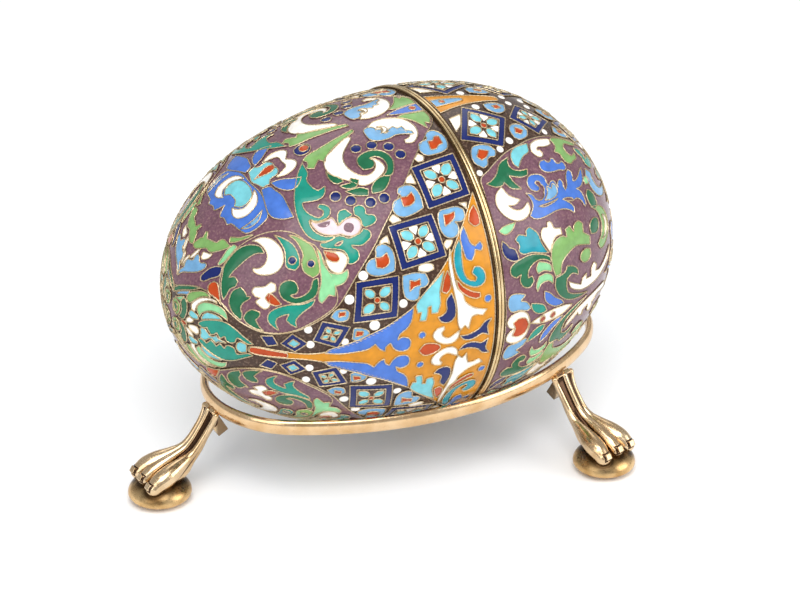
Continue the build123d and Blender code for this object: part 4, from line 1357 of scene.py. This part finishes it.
for shoe, heart in (
    ([
        (31, 3.4), (33.3, 2), (37.3, 1.7), (39.9, 3.1), (39, 4.3), (37, 4.9), (36.3, 5.7), (36.4, 6.8),
        (34.3, 7.6), (31.7, 6.5),
    ], [(32.7, 4), (35.3, 2.75), (37, 3.4), (36, 4.9), (34, 5.9)]),
    (
        [(23.7, 15.25), (26, 13.7), (30, 13.7), (31, 14.9), (29.6, 17.2), (26.7, 18.3), (24, 17.4)],
        [(25.3, 15.25), (28, 14.6), (28.7, 16), (26.7, 17)],
    ),
    (
        [(10.9, 13.6), (11.7, 12), (14.7, 12), (17.3, 13.7), (16, 16), (12, 17.2), (10.9, 15.6)],
        [(13, 13.7), (15, 14), (14.3, 15.6), (12.3, 15.25)],
    ),
    (
        [(9, 27.5), (12, 26), (15.5, 28), (15, 31), (11, 32), (8.6, 30)],
        [(10.5, 28.6), (13, 28.2), (13, 30), (10.6, 30.4)],
    ),
    (
        [(22, 27.5), (26, 26.5), (27.6, 29), (26.6, 31.6), (23, 31)],
        [(23.5, 28.4), (25.6, 28.2), (25.4, 30), (23.6, 30)],
    ),
):
    blunt.cell("sky", 2, shoe)
    blunt.cell("red", 3, heart, spacing=FINE_FILL)
blunt.cell("white", 1, [(15.5, 5.2), (17, 2), (23.5, 1.6), (21, 3.4), (18, 4.5)])
for at, radius in (
    ((41.2, 1.9), 0.7), ((33.9, 8.9), 0.8), ((30.9, 12.2), 0.9), ((12.4, 10), 0.9), ((9.6, 19.4), 0.8),
    ((26.4, 23.6), 0.8), ((9.6, 24.5), 0.8), ((25.8, 38), 0.8), ((10, 41.4), 0.7),
):
    blunt.pearl(at, radius)
blunt.cell("bottle", 2, [
    (37.5, 9.8), (39.5, 7), (43, 5.3), (45, 3.5), (45.6, 2.2), (47.3, 3.8), (47.5, 5.5), (46.5, 6.3),
    (49, 7.4), (50, 9.8), (47, 8.5), (44.5, 8), (45.8, 10.5), (45.5, 12.5), (43.2, 13), (43.3, 10.8),
    (42, 9.2), (39.5, 9),
])
blunt.cell("white", 2, [
    (47.7, 5.3), (50, 3.5), (54, 2.9), (58, 4.2), (60.3, 6.5), (59.8, 9), (57.5, 10.2), (54.8, 10.2),
    (56.8, 8.3), (56.3, 6.5), (54.5, 5.4), (54.8, 7), (53.5, 8.6), (52.3, 7.3), (51, 6.2),
])
blunt.cell("mint", 2, [(60.5, 6), (61, 3), (62.2, 1.7), (63.8, 3), (62.8, 4.8)])
blunt.cell("turquoise", 2, [
    (32.9, 16.2), (33.6, 13.9), (34.6, 12), (37, 10.5), (40.5, 10.2), (42.3, 11), (40, 12.2),
    (38, 13.6), (36.5, 15.4), (34, 15.9),
])
blunt.cell("blue", 2, [
    (49.6, 14.9), (48.5, 14.7), (48.2, 13.9), (49, 13.5), (50, 14.1), (51.2, 14.4), (51.9, 13.5),
    (51.2, 12.2), (49.6, 11.6), (47.4, 11.8), (45.9, 12.8), (45.6, 14.4), (46.2, 15.8), (47.6, 16.6),
    (49.4, 16.6), (50.6, 17), (49.2, 17.8), (49, 18.8), (50.6, 19.2), (52, 19.4), (50, 19.8),
    (48.7, 20.6), (49.6, 21.3), (51.6, 21.2), (53.3, 21.4), (51.4, 22.4), (48.6, 22.9), (46.2, 23.7),
    (45, 24.6), (46, 25.5), (48, 25.4), (50, 24.9), (49.8, 26), (48, 27.5), (45.4, 29), (43.6, 30.2),
    (47, 29.6), (50.4, 28.6), (52.6, 27.2), (53.4, 25.2), (54.4, 26.4), (57, 27.1), (60.4, 27.3),
    (61.2, 26.6), (58.6, 25.8), (57.2, 24.6), (57.8, 22.8), (57.6, 20.8), (58.8, 21.9), (60.6, 22.6),
    (62.6, 22.3), (61, 21), (60.1, 19.2), (60.1, 17), (60.9, 14.6), (61.4, 12.4), (60.9, 10.6),
    (59.6, 9.8), (58, 10.7), (56, 11.3), (53.6, 11), (51.7, 10.4), (52.6, 11.8), (54.4, 12.4),
    (55.2, 13.4), (54.4, 14.6), (52.4, 15.2), (50.8, 15.5),
])
blunt.cell("sky", 3, [
    (50.6, 16.2), (53, 15.9), (55.6, 14.6), (55.6, 16.6), (53.9, 18.6), (51.2, 18.8), (49.9, 18.1),
    (51.8, 17.3),
], spacing=FINE_FILL)
blunt.cell("plum", 3, [
    (56.6, 19.6), (57.4, 20.8), (57.8, 23), (56.8, 22.6), (56.3, 21),
], spacing=FINE_FILL)
blunt.cell("plum", 3, [
    (57.2, 12.6), (57.8, 14), (57, 16.6), (55.9, 18.4), (56.7, 15.8),
], spacing=FINE_FILL)
blunt.cell("blue", 2, [
    (40.4, 18.6), (41, 17.2), (42.6, 16.5), (44.4, 16.7), (45.5, 18), (45.5, 20), (45, 22),
    (45.3, 23.2), (44.4, 24.2), (42.6, 24.3), (41.2, 23.6), (42.2, 22.6), (42, 21.6), (40.4, 21.4),
    (39.8, 20.6), (41.2, 20), (41.4, 19),
])
blunt.cell("white", 2, [
    (30.6, 22.8), (31.2, 20), (32.4, 17.8), (34.5, 16.4), (37.5, 16.4), (39.2, 18), (38.2, 19),
    (36, 18.6), (36.3, 17.8), (34.8, 18.4), (34.6, 20.5), (33.2, 22.8), (31.5, 23),
])
blunt.cell("leaf", 2, [
    (29.8, 24.5), (31, 23.4), (34, 24), (37, 22.8), (38, 24.2), (41, 24.8), (42.3, 26.6), (40.5, 28.4),
    (39, 30), (36, 30.2), (38, 28.5), (37, 27.2), (34, 26.8), (32, 28), (31.8, 30.5), (30.8, 32.6),
    (29.4, 32.6), (29.2, 28),
])
blunt.cell("aqua", 2, [
    (63.3, 9), (64, 8), (66, 7.8), (65, 6), (66.5, 5), (68.3, 5.7), (70.5, 5.3), (71.8, 6.4), (72, 8.5),
    (73.2, 11), (73.8, 12.6), (70, 11.3), (66, 10.6),
])
blunt.cell("navy", 2, [
    (65.5, 2), (67.6, 1.6), (70, 1.7), (72, 2.5), (73.3, 4), (73.2, 5.1), (71, 4.9), (69.2, 4.4),
    (68.4, 3.4), (67, 2.8),
])
blunt.cell("bottle", 2, [
    (75.5, 12.9), (73.7, 11), (72.6, 8), (73.4, 5), (75, 3), (77.5, 2.8), (79.2, 4), (78.3, 5.2),
    (80.5, 4.8), (83, 5.6), (83.7, 7.2), (82, 8.2), (80, 7.8), (80.3, 6.8), (78, 7), (76, 8.3),
    (75.2, 10), (75.8, 11.6), (77.3, 13),
])
blunt.cell("mint", 2, [
    (75.8, 9.8), (78, 9), (80, 9.4), (79.5, 10.8), (80.8, 13), (78.5, 12.9), (77, 11.8),
])
blunt.cell("mint", 2, [
    (81, 9.5), (84, 8.7), (86.5, 9), (84, 10), (83.8, 12), (85.5, 13.2), (82.5, 13.1), (80.8, 11.5),
])
blunt.cell("white", 2, [
    (63, 13.8), (65, 13.5), (65, 12.2), (67.5, 11.4), (70, 11.9), (74, 13.2), (71, 14), (69, 15.4),
    (69, 17.1), (66.5, 17), (65.8, 15.2), (63.8, 14.8),
])
blunt.cell("leaf", 2, [
    (69.5, 16.8), (70.8, 14.6), (74, 13.4), (79, 13.3), (83.2, 14), (83, 15.5), (79, 16.2),
    (76.3, 18.5), (75, 21), (75.8, 23.5), (77, 26), (73.5, 26.3), (71, 24), (67.5, 24.3), (66, 23),
    (67, 21.3), (69.5, 20.8), (66.7, 19.8), (67.5, 18.3), (70.5, 18.4),
])
blunt.cell("leaf", 3, [
    (77.6, 24), (78.6, 22.3), (80.6, 21.8), (82.6, 22.8), (83, 24.6), (81.2, 25.8), (78.4, 25.6),
])
blunt.cell("mint", 2, [(48, 31.4), (48.4, 29.9), (50, 29.2), (51.8, 29.3), (51.6, 30.8), (50.4, 32)])
blunt.cell("bottle", 2, [
    (54.4, 29.4), (56.6, 28.4), (60, 28.6), (62.5, 29.6), (63.4, 31), (61, 32.3), (57, 31.8),
    (55, 30.8),
])
blunt.cell("bottle", 2, [
    (83.8, 14), (87, 13.8), (91, 15), (94.5, 17.5), (96.5, 21), (97.2, 25), (95, 21.5), (92, 18),
    (89, 17.2), (86, 17.3), (84.8, 19), (86.5, 21), (84, 20.8), (82, 19.3), (81, 17.5), (83, 16.7),
])
blunt.cell("white", 2, [
    (87.5, 17.9), (90, 18.4), (92.5, 20.4), (94.3, 23), (95, 27), (94.3, 31), (92, 34.5), (88, 36),
    (85, 37), (88.5, 33.5), (91, 30), (90, 28), (87.5, 28.3), (85.5, 27.2), (88, 26), (91, 26),
    (90.5, 24), (88, 24), (89.5, 22.5), (91.5, 22), (89.5, 19.9),
])
blunt.cell("white", 2, [
    (None, 3.3), (96.5, 2), (94, 1.7), (92.2, 2.9), (91.7, 4.8), (93.3, 6.4), (96, 7.1), (None, 7.3),
], line=90)
blunt.cell("red", 3, [
    (None, 3.6), (95.5, 3), (94.3, 4.3), (94.8, 5.9), (96.5, 6.6), (None, 6.9),
], line=90)
blunt.cell("sky", 2, [
    (84.7, 2.5), (86.5, 1.7), (89, 1.8), (91, 2.6), (91.2, 4.5), (92.2, 6.5), (91.5, 7.3), (89, 6.3),
    (87.8, 4.8), (86, 6), (85, 4.5),
])
blunt.cell("teal", 2, [
    (90, 7.3), (92.5, 7.7), (94.6, 8.9), (95.5, 10.5), (95, 11.6), (92.5, 10.8), (91, 9.2),
])
blunt.cell("blue", 2, [
    (87, 10.8), (90.5, 11), (93, 12.2), (95, 14.2), (95.4, 16.6), (93.5, 15.8), (91, 13.8),
    (88.5, 12.3),
])
blunt.cell("white", 2, [(None, 7.5), (96.5, 10), (95.9, 13.5), (96.5, 17), (None, 19.5)], line=90)
blunt.dot("rust", 3, (98, 10.6), 0.7, line=90)
blunt.dot("rust", 3, (98, 13.4), 0.7, line=90)
blunt.cell("bottle", 2, [(67, 30), (67.5, 28), (70, 26.8), (73, 27), (73.5, 29.5), (71, 31), (68, 31)])
blunt.cell("teal", 2, [
    (33, 31), (35.5, 31.4), (38, 33), (41, 33.4), (42.5, 35.5), (40, 37.5), (36, 38.4), (33, 37),
    (35.8, 36), (37.6, 35), (35, 34.4), (32.6, 34),
])
blunt.cell("sky", 2, [
    (44, 32), (48, 31), (53, 31.5), (57, 33.6), (58, 37), (55, 39.6), (50, 40.4), (53, 38),
    (52.6, 35.4), (49, 34), (45.4, 34.4),
])
blunt.cell("bottle", 2, [
    (40, 40), (45, 38), (48, 39), (47, 41.5), (51, 42.6), (57, 42.4), (62, 41), (60, 43.6), (54, 45.4),
    (47, 44.6), (42, 42.4),
])
blunt.cell("leaf", 2, [
    (62, 29), (65, 31.5), (70, 32.6), (75, 32), (79, 29.6), (82, 31), (81, 34), (77, 36.4), (72, 37),
    (66, 36), (62.6, 33.4),
])
blunt.cell("white", 3, [
    (67, 33.4), (71, 34.4), (76, 33.6), (78, 31.6), (77, 34.6), (72, 35.8), (68, 35),
])
blunt.cell("blue", 2, [
    (None, 34), (96, 37), (91, 39), (85, 39.6), (79, 39), (74, 40.4), (76, 43.6), (82, 45), (89, 45),
    (None, 46.4),
], line=90)
blunt.cell("turquoise", 3, [(None, 37.4), (93, 40), (88, 42), (93, 43.4), (None, 44)], line=90)
blunt.cell("red", 4, [(None, 39), (95.4, 40.8), (95.4, 42.4), (None, 43)], line=90)
blunt.cell("leaf", 2, [
    (69, 47.2), (77, 46.4), (86, 47), (93, 48.8), (88, 50), (83, 48.8), (79, 49.8), (75, 48.4),
    (71, 48.8),
])
blunt.cell("mint", 2, [
    (49, 46.6), (55, 45.9), (62, 46.3), (65, 48.2), (60, 49.2), (56, 47.8), (52, 48),
])
# The rosette at the blunt end. Half petals are drawn by their travel and their turn from a mirror line,
# and each closes on that line a little before its first point and after its last.
for colour, heart_colour, line, axis, side in (
    ("blue", "turquoise", 0, 7, 1), ("orange", "red", 90, 98, -1),
):
    for shade, level, half_petal in (
        (colour, 1, [(51.2, 5), (53, 13), (55, 17), (57.2, 15), (59, 7)]),
        (heart_colour, 2, [(53.4, 6), (55.2, 10), (57, 7)]),
    ):
        petal = [(axis + side * turn, travel) for travel, turn in half_petal]
        first, last = (None, half_petal[0][0] - 0.3), (None, half_petal[-1][0] + 0.5)
        blunt.cell(shade, level, [first] + petal + [last], line=line)
blunt.cell("teal", 1, [
    (52.5, 51), (60, 51.6), (67, 53.2), (70, 55.4), (66, 57.6), (58, 59.2), (52.5, 59.6), (47, 59.2),
    (39, 57.6), (35, 55.4), (38, 53.2), (45, 51.6),
])
blunt.cell("white", 2, [
    (52.5, 52.8), (59, 54), (62, 55.6), (58, 57.4), (52.5, 58), (47, 57.4), (43, 55.6), (46, 54),
])
blunt.cell("navy", 1, [(None, 45), (15, 45.6), (20, 47.6), (14, 49.6), (None, 50.4)], line=0)
blunt.cell("turquoise", 2, [(None, 46.4), (12.6, 47), (13, 48.4), (None, 49)], line=0)
blunt.cell("leaf", 1, [(22, 45.2), (28, 44.2), (34, 45.8), (40, 48.8), (36, 50), (29, 49.8), (24, 48)])
blunt.cell("white", 2, [
    (25.6, 46.2), (29, 45.8), (33, 47.4), (30, 48.2), (27, 47.8),
], spacing=FINE_FILL)
blunt.cell("red", 1, [(25, 40.4), (28, 40.2), (30.4, 42.2), (28, 43.2), (25, 42.6)])
blunt.cell("white", 1, [(13.4, 42), (18, 41.6), (20, 43.4), (16.4, 44.2)])
enamel_piece(blunt, 1, "blunt", 1.7, "red")


# The floor is plain pale paper, and the lights are large and soft, as in a small photo tent.
# The camera stands in front of the pointed end and looks a little down.
FLOOR_HALF, FLOOR_DROP, TENT_LIGHT = 4000.0, 0.02, 0.56
# From the middle of the parting line: where the camera stands, and the point that it looks at.
CAMERA_STAND, CAMERA_AIM, FOCAL_LENGTH = (-224.387, -392.765, 227.852), (-3.735, 0.0, -11.4), 108.48
paper = bpy.data.materials.new("matt_white_paper")
paper.use_nodes = True
paper_shader = paper.node_tree.nodes["Principled BSDF"]
paper_shader.inputs["Base Color"].default_value = linear("#FDFDFD")
paper_shader.inputs["Roughness"].default_value = 0.9
paper_shader.inputs["Specular IOR Level"].default_value = 0.1
floor_corners = np.array(((-1, -1), (1, -1), (1, 1), (-1, 1))) * FLOOR_HALF
floor = mesh_piece(
    "paper_floor", [(x, y, -FLOOR_DROP) for x, y in floor_corners], [(0, 1, 2, 3)], paper, smooth=False
)
room = bpy.data.worlds.new("photo_tent")
room.use_nodes = True
background = room.node_tree.nodes["Background"]
background.inputs["Color"].default_value = linear("#F2F4F7")
background.inputs["Strength"].default_value = TENT_LIGHT
bpy.context.scene.world = room
for label, at, aim, width, watts in (
    ("top_softbox", (-170, -290, 545), (0, 0, 30), 420, 2.6),
    ("left_softbox", (-560, -260, 330), (0, 0, 40), 380, 0.9),
    ("right_softbox", (440, -460, 300), (0, 0, 30), 440, 2.0),
    ("back_softbox", (230, 440, 520), (170, 320, 0), 480, 1.0),
):
    lamp = bpy.data.lights.new(label, "AREA")
    lamp.shape, lamp.size, lamp.energy = "SQUARE", width * MM, watts
    lamp_object = bpy.data.objects.new(label, lamp)
    lamp_object.location = Vector(at) * MM
    lamp_object.rotation_euler = (Vector(aim) - Vector(at)).to_track_quat("-Z", "Y").to_euler()
    bpy.context.collection.objects.link(lamp_object)
lens = bpy.data.cameras.new("front_camera")
lens.sensor_fit, lens.sensor_width, lens.lens = "HORIZONTAL", 36.0, FOCAL_LENGTH
lens.clip_start, lens.clip_end = 0.01, 20.0
camera = bpy.data.objects.new("front_camera", lens)
camera.location = Vector(EGG_MIDDLE + np.array(CAMERA_STAND)) * MM
look_at = Vector(EGG_MIDDLE + np.array(CAMERA_AIM)) * MM
camera.rotation_euler = (look_at - camera.location).to_track_quat("-Z", "Y").to_euler()
bpy.context.collection.objects.link(camera)
bpy.context.scene.camera = camera
bpy.context.scene.view_settings.view_transform = "Standard"
